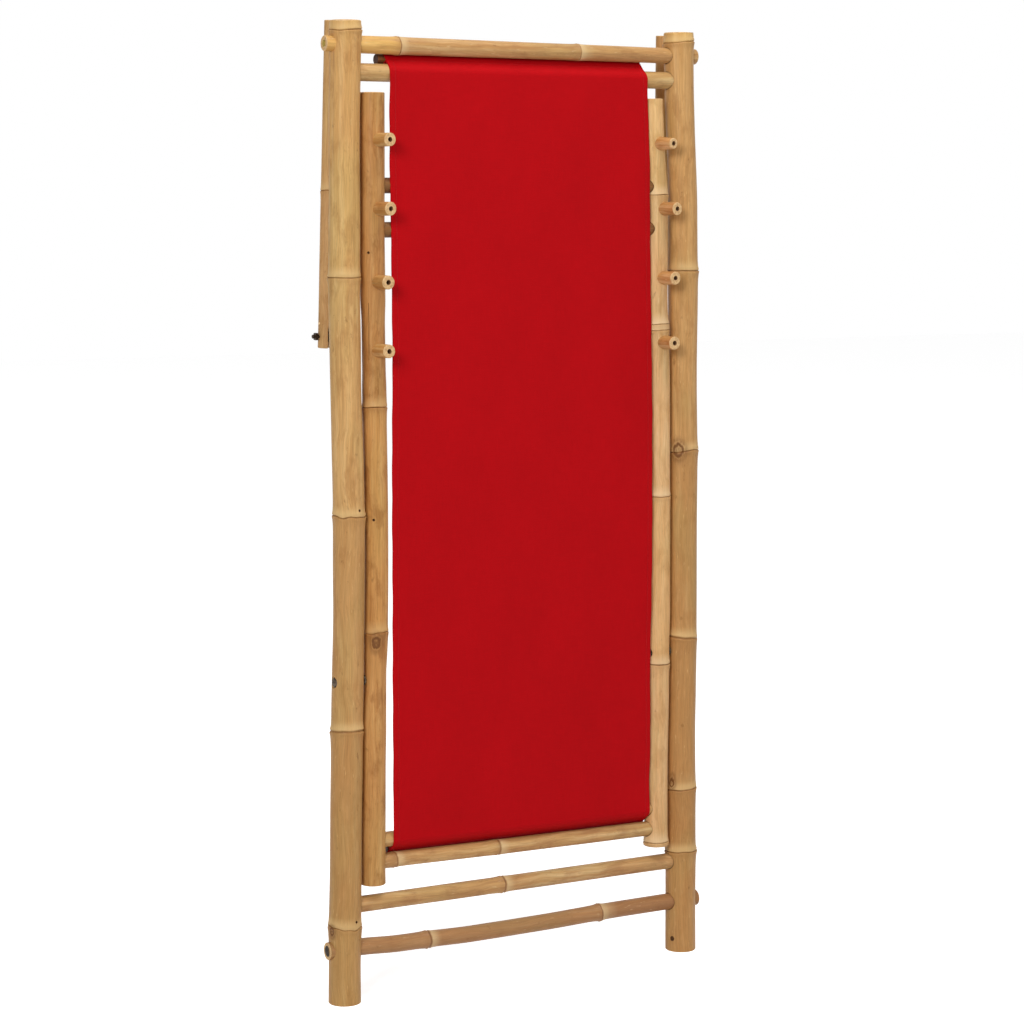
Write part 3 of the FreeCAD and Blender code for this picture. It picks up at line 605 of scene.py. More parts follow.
class Culm:
    """One bamboo culm: where it stands, how it grew and how its ends are cut.

    Along the culm, places are in metres; across it, sizes are in mm and headings in degrees.
    Radii are (place, radius in metres), nodes (place, tilt, heading, wave, darkness), scars
    (place, heading, size, height), furrows (low, high, heading, depth, width), bores (radius,
    depth) in metres at each end, and tones (yellow, shade) for each internode.
    """

    nodes = scars = furrows = ()
    bores, tones, bent = (None, None), None, None
    swell, waist, fine, uneven = 0.0, 0.0, 1.0, 1.0
    sides, step = 48, 9 * MM

    def __init__(self, start, along, front, total, radii, seed, **traits):
        self.start = Vector(start)
        self.along = Vector(along).normalized()
        self.front = Vector(front).normalized()
        self.right = self.along.cross(self.front)
        self.axes = np.array((self.front, self.right, self.along))
        self.total = total
        self.radii = radii
        self.rng = np.random.default_rng(seed)
        self.offset = self.rng.uniform(-3.0, 3.0, 3)
        vars(self).update(traits)

    def at(self, place, heading, radius):
        """The point at that place along the culm, heading in degrees and distance out."""
        turn = math.radians(heading)
        ahead, aside = self.middle(place)
        outward = self.front * (math.cos(turn) * radius + ahead)
        sideways = self.right * (math.sin(turn) * radius + aside)
        return self.start + self.along * place + outward + sideways

    def wall(self, place):
        return np.interp(place, *zip(*self.radii))

    def surface(self):
        """The rings of the outer wall: angle, place, radius, node marks and how it grew."""
        bamboo = bpy.context.scene.deck_chair_bamboo
        rng = self.rng
        spots = [node[0] for node in self.nodes]
        rings = ring_places(self.total, spots, self.fine, self.step, bamboo.edge * self.fine)
        turn, place = np.meshgrid(np.linspace(0.0, TURN, self.sides, endpoint=False), rings)
        shifted, radius, lump = place.copy(), self.wall(place), 0.0
        for waves in (1, 2, 3, 4):
            phase, pitch = rng.uniform(0, TURN), rng.uniform(0.12, 0.5)
            lump = lump + np.cos(waves * turn + TURN * place / pitch + phase) / (waves + 1)
        radius += bamboo.unevenness * self.uneven * lump * (radius / UNEVEN_R)
        bounds = np.array([0.0, *sorted(spots), self.total])
        internode = np.clip(np.searchsorted(bounds, rings, side="right") - 1, 0, len(bounds) - 2)
        spans = np.diff(bounds)[internode]
        waist = np.sin(math.pi * (rings - bounds[internode]) / spans) ** 2
        radius -= (self.waist * MM * np.clip(spans / 0.2, 0.0, 1.0) * waist)[:, None]
        marks = np.zeros((len(rings), 3))
        for number, (spot, tilt, heading, wave, *dark) in enumerate(self.nodes):
            near = rings - spot
            fade = smooth_step(1.0 - np.abs(near) / (NODE_REACH * self.fine))[:, None]
            phases = rng.uniform(0, TURN, 4)
            wavy = np.cos(turn - math.radians(heading)) * tilt * MM
            for index, waves in enumerate((2, 3, 5, 8)):
                wavy = wavy + wave * MM * np.cos(waves * turn + phases[index]) / (index + 1.6)
            shifted += wavy * fade
            rise = np.interp(near / (self.fine * MM), *NODE_SHAPE)
            bump = 1.0 + 0.22 * np.cos(2 * turn + phases[0]) + 0.15 * np.cos(5 * turn + phases[1])
            radius += self.swell * rise[:, None] * bump
            off = near / MM
            marks[:, 0] += smooth_step(off - 0.2) * smooth_step((17.0 - off) / 14.0)
            marks[:, 1] += smooth_step((off + 12.0) / 11.0) * smooth_step(0.4 - off)
            marks[:, 2] += smooth_step(1.15 - np.abs(off)) * (dark[0] if dark else 0.75)
            away = turned_from(turn, GROOVE_TURN + 180.0 * number)
            above = np.clip(near, 0, None)[:, None]
            depth = GROOVE_DEPTH * self.wall(spot) * np.exp(-((away / GROOVE_WIDTH) ** 2))
            radius -= depth * smooth_step(above / (6 * MM)) * np.exp(-above / GROOVE_LENGTH)
        for low, high, heading, depth, wide in self.furrows:
            away = turned_from(turn, heading) / math.radians(wide)
            fade = smooth_step((place - low) / (40 * MM)) * smooth_step((high - place) / (15 * MM))
            radius -= depth * MM * np.exp(-(away**2)) * fade
        grown = np.zeros((*radius.shape, 3))
        for spot, heading, size, height in self.scars:
            away = turned_from(turn, heading)
            far = np.hypot(away * self.wall(spot), (shifted - spot) * 0.75) / (size * MM)
            radius += height * MM * (np.exp(-(far**2)) - 1.25 * np.exp(-((far / 0.5) ** 2)))
            grown[:, :, 2] = np.maximum(grown[:, :, 2], np.exp(-((far / 0.85) ** 2)))
        tones = self.tones or [(rng.uniform(0.0, 0.3), 0.0) for _ in bounds[1:]]
        grown[:, :, :2] = np.array(tones)[internode][:, None, :]
        return turn, shifted, radius, marks, grown

    def middle(self, place):
        """How far the middle line stands off the straight line there, to the front and right."""
        bamboo = bpy.context.scene.deck_chair_bamboo
        stops = [0.0, *sorted(node[0] for node in self.nodes), self.total]
        rng = np.random.default_rng(int(abs(self.offset[0]) * 1e6))
        shifts = rng.uniform(-1.0, 1.0, (len(stops), 2)) * bamboo.wander * self.uneven
        shifts[0] = shifts[-1] = 0.0
        ahead, aside = (np.interp(place, stops, shifts[:, axis]) for axis in (0, 1))
        if self.bent in BENDS:
            foot = self.start.z if self.along.z > 0.5 else 0.0
            aside = aside + bend_at(self.bent, foot + place)
        return ahead, aside

    def mesh(self, name):
        """The whole closed mesh, from the middle of one end to the middle of the other."""
        edge = bpy.context.scene.deck_chair_bamboo.edge * self.fine
        turn, *parts = self.surface()
        angle = turn[0]
        rows = list(zip(*parts))
        kinds = [SKIN] * (len(rows) - 1)
        poles = []
        for end, sign, flat in ((0, 1, 0.0), (-1, -1, self.total)):
            _, wall, _, tone = rows[end]
            rings, marked = [(flat, wall - edge)], [CUT_END]
            if self.bores[end]:
                radius, depth = self.bores[end]
                radius = radius * (1.0 + 0.035 * np.cos(2 * angle + self.offset[1]))
                rings += [
                    (flat, radius + 0.4 * MM),
                    (flat + sign * 0.5 * MM, radius),
                    (flat + sign * depth, radius * 0.96),
                ]
                marked += [CUT_END, BORE, BORE]
                poles.append((flat + sign * depth * 1.02, BORE))
            else:
                rings.append((flat, (wall - edge) * 0.55))
                marked.append(CUT_END)
                poles.append((flat, CUT_END))
            extra = [(np.full(self.sides, z), ring, np.zeros(3), tone) for z, ring in rings]
            if end == 0:
                rows, kinds = extra[::-1] + rows, marked[::-1] + kinds
            else:
                rows, kinds = rows + extra, kinds + marked
        places, radii, marks, grown = (np.array(part) for part in zip(*rows))
        ahead, aside = self.middle(places)
        local = (radii * np.cos(angle) + ahead, radii * np.sin(angle) + aside, places)
        ends = [(0.0, 0.0, place) for place, _ in poles]
        local = np.concatenate((np.stack(local, -1).reshape(-1, 3), ends))
        sides, last_ring = self.sides, (len(rows) - 1) * self.sides
        foot, head = last_ring + sides, last_ring + sides + 1
        faces = tube_faces(len(rows), sides)
        for side in range(sides):
            after = (side + 1) % sides
            faces += [(foot, after, side), (head, last_ring + side, last_ring + after)]
        data = bpy.data.meshes.new(name)
        data.from_pydata((local @ self.axes + np.array(self.start)).tolist(), [], faces)
        slots = np.repeat(kinds, sides).tolist() + [kind for _, kind in poles] * sides
        data.polygons.foreach_set("material_index", slots)
        ends = np.zeros((2, 3))
        marks = np.concatenate((np.repeat(marks, sides, axis=0), ends))
        self.store(data, marks, np.concatenate((grown.reshape(-1, 3), ends)))
        return data

    def store(self, data, marks, grown):
        """Writes what the materials read: the place on the culm, its marks and how it grew."""
        points = np.empty(len(data.vertices) * 3)
        data.vertices.foreach_get("co", points)
        local = (points.reshape(-1, 3) - np.array(self.start)) @ self.axes.T + self.offset
        for name, values in (("culm_place", local), ("node_marks", marks), ("grown", grown)):
            write_attribute(data, name, "FLOAT_VECTOR", "vector", values)


# Carving culms

BEYOND = 2.0 * MM  # how far a cutter reaches out of the wall
BOLT_SEAT_DEPTH, NUT_SEAT_R, NUT_SEAT_FLOOR = 3.0 * MM, 7.1 * MM, 7.0 * MM
BOLT_SEAT_R, BOLT_SEAT_RIM_R = 7.4 * MM, 7.6 * MM
NAIL_R, NAIL_RIM_R, NAIL_DEPTH = 2.75 * MM, 2.9 * MM, 1.3 * MM
SOCKET_DEPTH, SOCKET_GAP = 7 * MM, 0.8


def tube(rings, first, second, sides, slot):
    """A closed tube through (centre, radius) rings, as vertices, faces and slots."""
    points = []
    for centre, radius in rings:
        for side in range(sides):
            turn = TURN * side / sides
            points.append(centre + (first * math.cos(turn) + second * math.sin(turn)) * radius)
    last = (len(rings) - 1) * sides
    ends = [tuple(range(sides))[::-1], tuple(range(last, last + sides))]
    faces = ends + tube_faces(len(rings), sides)
    return points, faces, [slot] * len(faces)


def round_cutter(start, end, start_radius, end_radius, slot, sides):
    """A tapered plug between two points."""
    start, end = Vector(start), Vector(end)
    along = (end - start).normalized()
    aside = along.orthogonal().normalized()
    rings = ((start, start_radius), (end, end_radius))
    return tube(rings, aside, along.cross(aside), sides, slot)


def block_cutter(centre, axes, halves, slot):
    """A block round a centre, with its three axes and half sizes."""
    points = []
    for signs in itertools.product((-1, 1), repeat=3):
        point = Vector(centre)
        for axis, half, sign in zip(axes, halves, signs):
            point += axis * half * sign
        points.append(point)
    faces = [(0, 1, 3, 2), (4, 6, 7, 5), (0, 4, 5, 1), (2, 3, 7, 6), (0, 2, 6, 4), (1, 5, 7, 3)]
    return points, faces, [slot] * len(faces)


def joined_mesh(name, shapes):
    """Several shapes of points, faces and slots as one mesh that faces outward."""
    points, faces, slots = [], [], []
    for more_points, more_faces, more_slots in shapes:
        start = len(points)
        points += [tuple(point) for point in more_points]
        faces += [tuple(start + corner for corner in face) for face in more_faces]
        slots += more_slots
    data = bpy.data.meshes.new(name)
    data.from_pydata(points, [], faces)
    data.polygons.foreach_set("material_index", slots)
    outward_faces(data)
    return data


def outward_faces(data):
    shape = bmesh.new()
    shape.from_mesh(data)
    bmesh.ops.recalc_face_normals(shape, faces=shape.faces)
    shape.to_mesh(data)
    shape.free()


def carve(piece, culm, cutters):
    """Cuts holes, slots and cracks into a culm, and keeps what its material reads."""
    data = piece.data
    count = len(data.vertices)
    tree = KDTree(count)
    for index, vertex in enumerate(data.vertices):
        tree.insert(vertex.co, index)
    tree.balance()
    kept = []
    for name in ("node_marks", "grown"):
        values = np.empty(count * 3)
        data.attributes[name].data.foreach_get("vector", values)
        kept.append(values.reshape(-1, 3))
    tool = make_piece(joined_mesh("cutter", cutters), data.materials)
    modifier = piece.modifiers.new("carve", "BOOLEAN")
    modifier.operation = "DIFFERENCE"
    modifier.solver = "EXACT"
    modifier.object = tool
    bpy.context.view_layer.update()
    cut = piece.evaluated_get(bpy.context.evaluated_depsgraph_get())
    made = bpy.data.meshes.new_from_object(cut)
    if len(made.polygons) < len(data.polygons) // 2:
        raise RuntimeError("carving " + piece.name + " lost most of it")
    piece.modifiers.clear()
    piece.data = made
    bpy.data.meshes.remove(tool.data)
    nearest = [tree.find(vertex.co)[1] for vertex in made.vertices]
    culm.store(made, *(values[nearest] for values in kept))


def make_piece(data, materials):
    piece = bpy.data.objects.new(data.name, data)
    bpy.context.scene.collection.objects.link(piece)
    for material in materials:
        data.materials.append(material)
    return piece


def grow(culm, node, body, slot, cutters=(), tint="brown", skin=None, cut="pale"):
    """Builds a culm, carves it and lets it stand for its CAD node on that body."""
    data = culm.mesh(node + "_culm")
    looks = (skin_of(skin or slot), sawn_wood("cut_end", cut), sawn_wood("bamboo_bore", tint))
    piece = make_piece(data, looks)
    outward_faces(data)
    if cutters:
        carve(piece, culm, cutters)
    piece.data.shade_smooth()
    piece.data.set_sharp_from_angle(angle=SHARP)
    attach(piece, body)
    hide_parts(node)


def room_of(node):
    low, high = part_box(node)
    return low, high, (low + high) / 2.0


def centre_of(node):
    return room_of(node)[2]


def moved(rows, shift):
    """Rows that begin with a place along a culm, moved along it."""
    return [(place + shift, *rest) for place, *rest in rows]


def bore(radius, depth):
    return radius * MM, depth * MM


def across_culm(node, radius, seed, nodes=(), **traits):
    """An even culm across the chair in its CAD node's place. Nodes count from its middle."""
    low, high, middle = room_of(node)
    traits = {"fine": 0.7, "sides": 40, "bent": node, **traits}
    return Culm(
        (low.x, middle.y, middle.z), ACROSS, FORWARD, high.x - low.x, ((0, radius * MM),), seed,
        nodes=moved(nodes, middle.x - low.x),
        swell=bpy.context.scene.deck_chair_bamboo.thin_swell, **traits,
    )


def nail_recesses(centre, wall, heights):
    """Recesses at the back of a pole for the nail heads."""
    back = centre.y + wall
    return [
        round_cutter(
            (centre.x, back - NAIL_DEPTH, z), (centre.x, back + 3.0 * MM, z), NAIL_R, NAIL_RIM_R,
            BORE, 16,
        )
        for z in heights
    ]


def sockets(culm, rungs, side):
    """Sockets around the rungs that enter a pole on its inner side: radius and drop in mm."""
    shapes = []
    for node, (radius, drop) in rungs.items():
        place = centre_of(node).z - drop * MM - culm.start.z
        centre, wall = culm.at(place, 0.0, 0.0), culm.wall(place)
        ends = (centre + ACROSS * -side * out for out in (wall - SOCKET_DEPTH, wall + BEYOND))
        reach = (radius + SOCKET_GAP) * MM
        shapes.append(round_cutter(*ends, reach, reach, BORE, 32))
    return shapes


def bud_hole(culm, place, heading, radius=1.7, depth=4.0):
    """A small hole with a flared mouth."""
    wall = culm.wall(place)
    ends = (culm.at(place, heading, out) for out in (wall - depth * MM, wall + BEYOND))
    return round_cutter(*ends, radius * 0.7 * MM, radius * 1.25 * MM, BORE, 14)


def crack(culm, low, high, heading, wide=0.55, deep=1.6):
    """A narrow split along a culm."""
    middle = (low + high) / 2.0
    centre = culm.at(middle, heading, culm.wall(middle) - 0.2 * MM)
    turn = math.radians(heading)
    outward = culm.front * math.cos(turn) + culm.right * math.sin(turn)
    halves = (wide / 2.0 * MM, deep * MM, (high - low) / 2.0)
    return block_cutter(centre, (culm.along.cross(outward), outward, culm.along), halves, BORE)


POST_FOOT_R, POST_TOP_R = 20.8 * MM, 20.2 * MM
# The posts: seed, nodes, scars, bud holes, furrows, tones, and (radius, drop) of their rungs
BACK_POSTS = {
    "left": (
        11,
        (
            (0.0965, 1.6, -60, 2.2, 0.35), (0.3455, 2.2, -30, 0.5, 0.7),
            (0.618, 1.4, -40, 2.1, 0.8), (0.923, 0.6, 150, 0.3, 0.8),
            (1.2385, 1.6, 150, 0.6, 0.55),
        ),
        ((0.094, -75, 6.0, 1.4),), ((0.627, 16.0), (0.1055, 18.0)),
        ((1.030, 1.247, -81, 1.1, 9),),
        ((0, 0.5), (0, 0.65), (0, 0.45), (0, 0.0), (0.1, 0.05), (0.5, 0.15)),
        {
            "head_rail": (11.5, 0.0), "sling_rail": (SLING_RAIL_R, 0.0),
            "foot_rung_upper": (UPPER_FOOT_RUNG_R, 0.0),
            "foot_rung_lower": (LOWER_FOOT_RUNG_R, 0.5),
        },
    ),
    "right": (
        12,
        (
            (0.135, 0.6, 20, 0.7, 0.5), (0.221, 2.0, 100, 0.5, 0.7),
            (0.4265, 1.6, -120, 0.6, 0.5), (0.680, 1.5, 60, 0.9, 0.6),
            (0.926, 0.6, 200, 0.4, 0.8), (1.2365, 1.8, 60, 0.5, 0.5),
        ),
        ((0.682, -48, 11.0, 2.0), (0.229, -66, 6.0, 1.2)), ((0.018, -66.0, 3.2),),
        ((0.085, 0.175, -27, 0.7, 7),),
        ((0, 0.6), (0, 0.8), (0, 0.75), (0, 0.6), (0, 0.35), (0, 0.3), (0.6, -0.1)),
        {
            "head_rail": (10.6, 2.0), "sling_rail": (SLING_RAIL_R, 0.0),
            "foot_rung_upper": (UPPER_FOOT_RUNG_R, 0.0),
            "foot_rung_lower": (LOWER_FOOT_RUNG_R, 1.0),
        },
    ),
}


class DECKCHAIR_OT_back_posts(Operator):
    """Grows the two posts of the back frame, with their bores, bolt seats and bud holes"""

    bl_idname = "deck_chair.back_posts"
    bl_label = "Back Posts"

    def execute(self, context):
        bamboo = context.scene.deck_chair_bamboo
        pivot = centre_of("pivot_bolts").z
        for word, (seed, nodes, scars, buds, furrows, tones, rungs) in BACK_POSTS.items():
            node, side = "back_post_" + word, 1 if word == "right" else -1
            _, high, middle = room_of(node)
            radii = ((0, POST_FOOT_R), (high.z, POST_TOP_R))
            culm = Culm(
                (middle.x, middle.y, 0.0), UP, FORWARD, high.z, radii,
                seed, nodes=nodes, swell=bamboo.node_swell, sides=72,
                bores=(bore(14.5, 36), bore(14.5, 7)), scars=scars, bent=node, furrows=furrows,
                tones=tones, waist=0.5,
            )
            outward = ACROSS * side
            seat = Vector((middle.x, middle.y, pivot))
            seat += outward * (culm.wall(pivot) - BOLT_SEAT_DEPTH)
            mouth = seat + outward * 8 * MM
            cutters = [round_cutter(seat, mouth, BOLT_SEAT_R, BOLT_SEAT_RIM_R, CUT_END, 28)]
            for rung in rungs:
                height = centre_of(rung).z
                cutters += nail_recesses(middle, culm.wall(height), (height,))
            cutters += [bud_hole(culm, *bud) for bud in buds]
            cutters += sockets(culm, rungs, side)
            grow(culm, node, "back_frame", "post_bamboo", cutters)
        return {"FINISHED"}


# The rails and rungs: seed, radii by place in mm, nodes from the chair's middle, bores, tones,
# unevenness, mm that each end is longer, mm that the right end hangs lower, tint of the bores
BACK_RUNGS = {
    "head_rail": (
        21, ((0, 10.0), (0.02, 10.4), (0.05, 11.4), (0.1, 11.6), (0.53, 10.5)),
        ((-0.183, 0.8, 40, 0.3, 0.6), (0.087, 0.3, 0, 0.2, 0.6)), (bore(4.4, 4), bore(3.2, 6)),
        ((0.9, -0.25), (0.2, 0.2), (0.2, 0.2)), 0.5, (0.0, -2.0), 2.0, "olive",
    ),
    "sling_rail": (
        22, ((0, SLING_RAIL_R),), (), (None, None), ((0.12, 0.0),), 0.25, (0.0, 0.0), 0.0,
        "brown",
    ),
    "foot_rung_upper": (
        23, ((0, UPPER_FOOT_RUNG_R),), ((-0.028, 0.8, 30, 0.6, 0.9),), (None, None),
        ((0.1, 0.0), (0.05, 0.1)), 1.0, (4.0, -1.3), 0.0, "brown",
    ),
    "foot_rung_lower": (
        24, ((0, 10.9), (0.01, LOWER_FOOT_RUNG_R), (0.06, 10.6)),
        ((-0.139, 0.8, 10, 0.4), (0.121, 0.6, 90, 0.3)), (bore(6.6, 12), bore(4.8, 10)),
        ((0.0, 0.6), (0.0, 0.7), (0.0, 0.9)), 1.0, (4.5, -1.3), 0.0, "grey",
    ),
}


class DECKCHAIR_OT_back_rungs(Operator):
    """Grows the head rail, the sling rail and the two foot rungs of the back frame"""

    bl_idname = "deck_chair.back_rungs"
    bl_label = "Back Rails and Rungs"

    def execute(self, context):
        bamboo = context.scene.deck_chair_bamboo
        chair_middle = (centre_of("back_post_left").x + centre_of("back_post_right").x) / 2.0
        for node, row in BACK_RUNGS.items():
            seed, radii, nodes, bores, tones, uneven, longer, drop, tint = row
            low, high, middle = room_of(node)
            start = Vector((low.x - longer[0] * MM, middle.y, middle.z))
            end = Vector((high.x + longer[1] * MM, middle.y, middle.z - drop * MM))
            swollen = 1.5 if node.startswith("foot") else 1.0
            culm = Culm(
                start, end - start, FORWARD, (end - start).length,
                [(place, radius * MM) for place, radius in radii], seed,
                nodes=moved(nodes, chair_middle - start.x), swell=bamboo.thin_swell * swollen,
                fine=0.7, sides=44, bores=bores, tones=tones, uneven=uneven, bent=node,
            )
            grow(culm, node, "back_frame", "rail_bamboo", tint=tint)
        return {"FINISHED"}


SEAT_NODE_SWELL = 1.2 * MM
# The seat poles, by height: seed, radii in mm, nodes, bud holes, scars, cracks, tones, skin and
# how much lower the sling rung and the front rung enter
SEAT_POLES = {
    "left": (
        31,
        (
            (0.146, 16.4), (0.160, 16.2), (0.340, 16.2), (0.395, 15.0), (0.421, 15.0),
            (0.440, 15.8), (0.780, 15.8), (0.800, 15.2), (0.870, 15.2), (0.890, 16.2),
            (1.159, 16.2),
        ),
        ((0.468, 0.9, 60, 1.2, 0.25), (0.756, 0.7, 20, 0.3, 0.8)),
        ((0.954, -44.0), (0.613, -37.0)), ((0.457, -24.0, 9.0, 0.8),), ((0.817, 0.890, -48.0),),
        # The top internode's shade of 0.2 is painted shadow cast by the left post
        ((0.1, 0.05), (0.2, 0.0), (0.05, 0.2)), "seat_bamboo", 0.0,
    ),
    "right": (
        32, ((0.146, 16.2), (0.200, 16.0), (0.260, 15.2), (1.159, 15.0)),
        (
            (0.1515, 0.4, 40, 0.3, 0.5), (0.392, 0.6, 0, 0.4, 0.8), (0.620, 0.8, 120, 0.4, 0.7),
            (0.8452, 0.5, 90, 0.3, 0.6), (0.8534, 0.6, 60, 0.3, 0.6),
            (1.0285, 0.5, 30, 0.3, 0.7),
        ),
        (), (), (),
        ((0.1, 0), (0.1, 0), (0.25, 0.1), (0.1, 0), (0.1, 0), (0.1, 0), (0.3, 0)),
        "pale_bamboo", RIGHT_DROP,
    ),
}


class DECKCHAIR_OT_seat_poles(Operator):
    """Grows the two poles of the seat frame, with a crack and bud holes"""

    bl_idname = "deck_chair.seat_poles"
    bl_label = "Seat Poles"

    def execute(self, context):
        pivot = centre_of("pivot_bolts").z
        for word, row in SEAT_POLES.items():
            seed, radii, nodes, buds, scars, cracks, tones, skin, drop = row
            node, side = "seat_pole_" + word, 1 if word == "right" else -1
            low, high, middle = room_of(node)
            culm = Culm(
                (middle.x, middle.y, low.z), UP, FORWARD, high.z - low.z,
                [(z - low.z, radius * MM) for z, radius in radii], seed,
                nodes=moved(nodes, -low.z), swell=SEAT_NODE_SWELL, fine=0.85, sides=56,
                bores=(bore(10, 12), bore(10, 24)), scars=moved(scars, -low.z), tones=tones,
                uneven=0.8, bent=node,
            )
            rungs = {
                "sling_rung": (SLING_RUNG_R, drop), "front_rung": (FRONT_RUNG_R, drop),
                "brace_rung_upper": (BRACE_R, 0.0), "brace_rung_lower": (BRACE_R, 0.0),
            }
            cutters = nail_recesses(middle, 15 * MM, [centre_of(rung).z for rung in rungs])
            seat = Vector((middle.x - side * NUT_SEAT_FLOOR, middle.y, pivot))
            mouth = seat - ACROSS * side * 15 * MM
            cutters.append(round_cutter(seat, mouth, NUT_SEAT_R, NUT_SEAT_R, CUT_END, 28))
            cutters += [bud_hole(culm, *bud) for bud in moved(buds, -low.z)]
            cutters += sockets(culm, rungs, side)
            for bottom, top, heading in cracks:
                cutters.append(crack(culm, bottom - low.z, top - low.z, heading))
            grow(culm, node, "seat_frame", "seat_bamboo", cutters, skin=skin)
        return {"FINISHED"}


class DECKCHAIR_OT_seat_rungs(Operator):
    """Grows the four rungs of the seat frame"""

    bl_idname = "deck_chair.seat_rungs"
    bl_label = "Seat Rungs"

    def execute(self, context):
        front_nodes = ((-0.187, 0.4, 0, 0.3, 0.4), (-0.036, 0.5, 20, 0.3))
        front_tones = ((0.1, 0.2), (0.2, 0.05), (0.1, 0.0))
        # The braces' tone shade of 0.3 is painted shade from the canvas in front of them
        brace_nodes, brace_shade_tone = ((0.062, 0.5, 0, 0.3),), (0.1, 0.3)
        for node, radius, seed, nodes, tones, uneven, skin in (
            ("sling_rung", SLING_RUNG_R, 41, (), ((0.2, 0.0),), 0.25, "rail_bamboo"),
            ("front_rung", FRONT_RUNG_R, 42, front_nodes, front_tones, 1.0, "rail_bamboo"),
            ("brace_rung_upper", BRACE_R, 43, (), (brace_shade_tone,), 1.0, "brace_shade_bamboo"),
            ("brace_rung_lower", BRACE_R, 44, brace_nodes, (brace_shade_tone,) * 2, 1.0, "brace_shade_bamboo"),
        ):
            culm = across_culm(node, radius, seed, nodes, tones=tones, uneven=uneven)
            grow(culm, node, "seat_frame", "rail_bamboo", skin=skin)
        return {"FINISHED"}


# The pegs, by their numbers: how far each leans to the right and its face's radius, in mm
STOP_PEGS = {
    "left": (50, ((2.3, 8.7), (3.4, 8.7), (0.0, 8.9), (1.2, 8.7))),
    "right": (60, ((0.0, 7.2), (6.0, 8.6), (3.0, 8.8), (1.5, 8.8))),
}


class DECKCHAIR_OT_stop_pegs(Operator):
    """Cuts the eight stop pegs from thin bamboo, each with its narrow bore"""

    bl_idname = "deck_chair.stop_pegs"
    bl_label = "Stop Pegs"

    def execute(self, context):
        for word, (base, faces) in STOP_PEGS.items():
            for count, (lean, face_radius) in enumerate(faces, start=1):
                node = "stop_peg_%s_%d" % (word, count)
                low, high, middle = room_of(node)
                root = Vector((middle.x + bend_at("seat_pole_" + word, middle.z), high.y, middle.z))
                face = Vector((middle.x + lean * MM, low.y, middle.z))
                culm = Culm(
                    root, face - root, UP, (face - root).length,
                    ((0, 9.8 * MM), (25 * MM, 9.0 * MM), (45 * MM, face_radius * MM)),
                    base + count, fine=0.8, sides=36, step=5 * MM, bores=(None, bore(2.8, 16)),
                    uneven=1.3,
                )
                grow(culm, node, "seat_frame", "peg_bamboo")
        return {"FINISHED"}


# The foot of a prop pole, in mm from its pin: its end, its slot, and the cracks beside it
PROP_FOOT, PROP_SLOT, PROP_SLOT_WIDTH, PROP_CRACK = -15.0, (-18.0, 11.5), 5.5, (14.0, 31.0)
PROP_PIN_R, PROP_FOOT_R, PROP_TOP_R, PROP_BAR_R = 2.56 * MM, 11 * MM, 10 * MM, 8


class DECKCHAIR_OT_prop_frame(Operator):
    """Grows the two prop poles, slotted at the foot, and the bar between them"""

    bl_idname = "deck_chair.prop_frame"
    bl_label = "Prop Frame"

    def execute(self, context):
        bamboo = context.scene.deck_chair_bamboo
        pin, bar = centre_of("prop_pins"), centre_of("prop_bar")
        along = Vector((0.0, bar.y - pin.y, bar.z - pin.z)).normalized()
        forward = along.cross(ACROSS).normalized()
        if forward.y > 0.0:
            forward = -forward
        for word, side, seed, total in (("left", -1, 71, 423.5), ("right", 1, 72, 419)):
            node = "prop_pole_" + word
            foot = Vector((centre_of(node).x, pin.y, pin.z))
            culm = Culm(
                foot + along * PROP_FOOT * MM, along, forward, total * MM,
                ((0, PROP_FOOT_R), (total * MM, PROP_TOP_R)), seed,
                nodes=((0.204, 0.6, 40, 0.4, 0.6),),
                swell=bamboo.thin_swell, fine=0.8, sides=44, bores=(None, bore(6, 18)),
                uneven=0.8, bent=node,
            )
            slot_middle = foot + along * sum(PROP_SLOT) / 2.0 * MM
            halves = (PROP_SLOT_WIDTH / 2.0, 20.0, (PROP_SLOT[1] - PROP_SLOT[0]) / 2.0)
            halves = [half * MM for half in halves]
            split = [(place - PROP_FOOT) * MM for place in PROP_CRACK]
            cutters = [
                block_cutter(slot_middle, (ACROSS, forward, along), halves, CUT_END),
                crack(culm, *split, side * 90.0, 0.6, 1.8),
            ]
            for way in (-1.0, 1.0):
                ends = (foot + ACROSS * way * out * MM for out in (4.0, 14.0))
                cutters.append(round_cutter(*ends, PROP_PIN_R, PROP_PIN_R, BORE, 20))
            grow(culm, node, "prop_frame", "prop_bamboo", cutters)
        bar_nodes = ((-0.095, 0.5, 0, 0.3), (0.128, 0.4, 40, 0.3))
        culm = across_culm("prop_bar", PROP_BAR_R, 73, bar_nodes, uneven=0.4)
        grow(culm, "prop_bar", "prop_frame", "prop_bamboo")
        return {"FINISHED"}


class DECKCHAIR_OT_sleeve_dowels(Operator):
    """Turns the two dowels that hold the canvas"""

    bl_idname = "deck_chair.sleeve_dowels"
    bl_label = "Sleeve Dowels"

    def execute(self, context):
        for node, body, radius, seed in (
            ("sleeve_dowel_upper", "back_frame", UPPER_DOWEL_R, 81),
            ("sleeve_dowel_lower", "seat_frame", LOWER_DOWEL_R, 82),
        ):
            culm = across_culm(node, radius, seed, sides=32, fine=0.8, uneven=0.3)
            # The dowels' brown skin and cut ends are painted shade inside the sleeves
            grow(culm, node, body, "dowel_wood", cut="brown")
        return {"FINISHED"}


# Sewing the sling

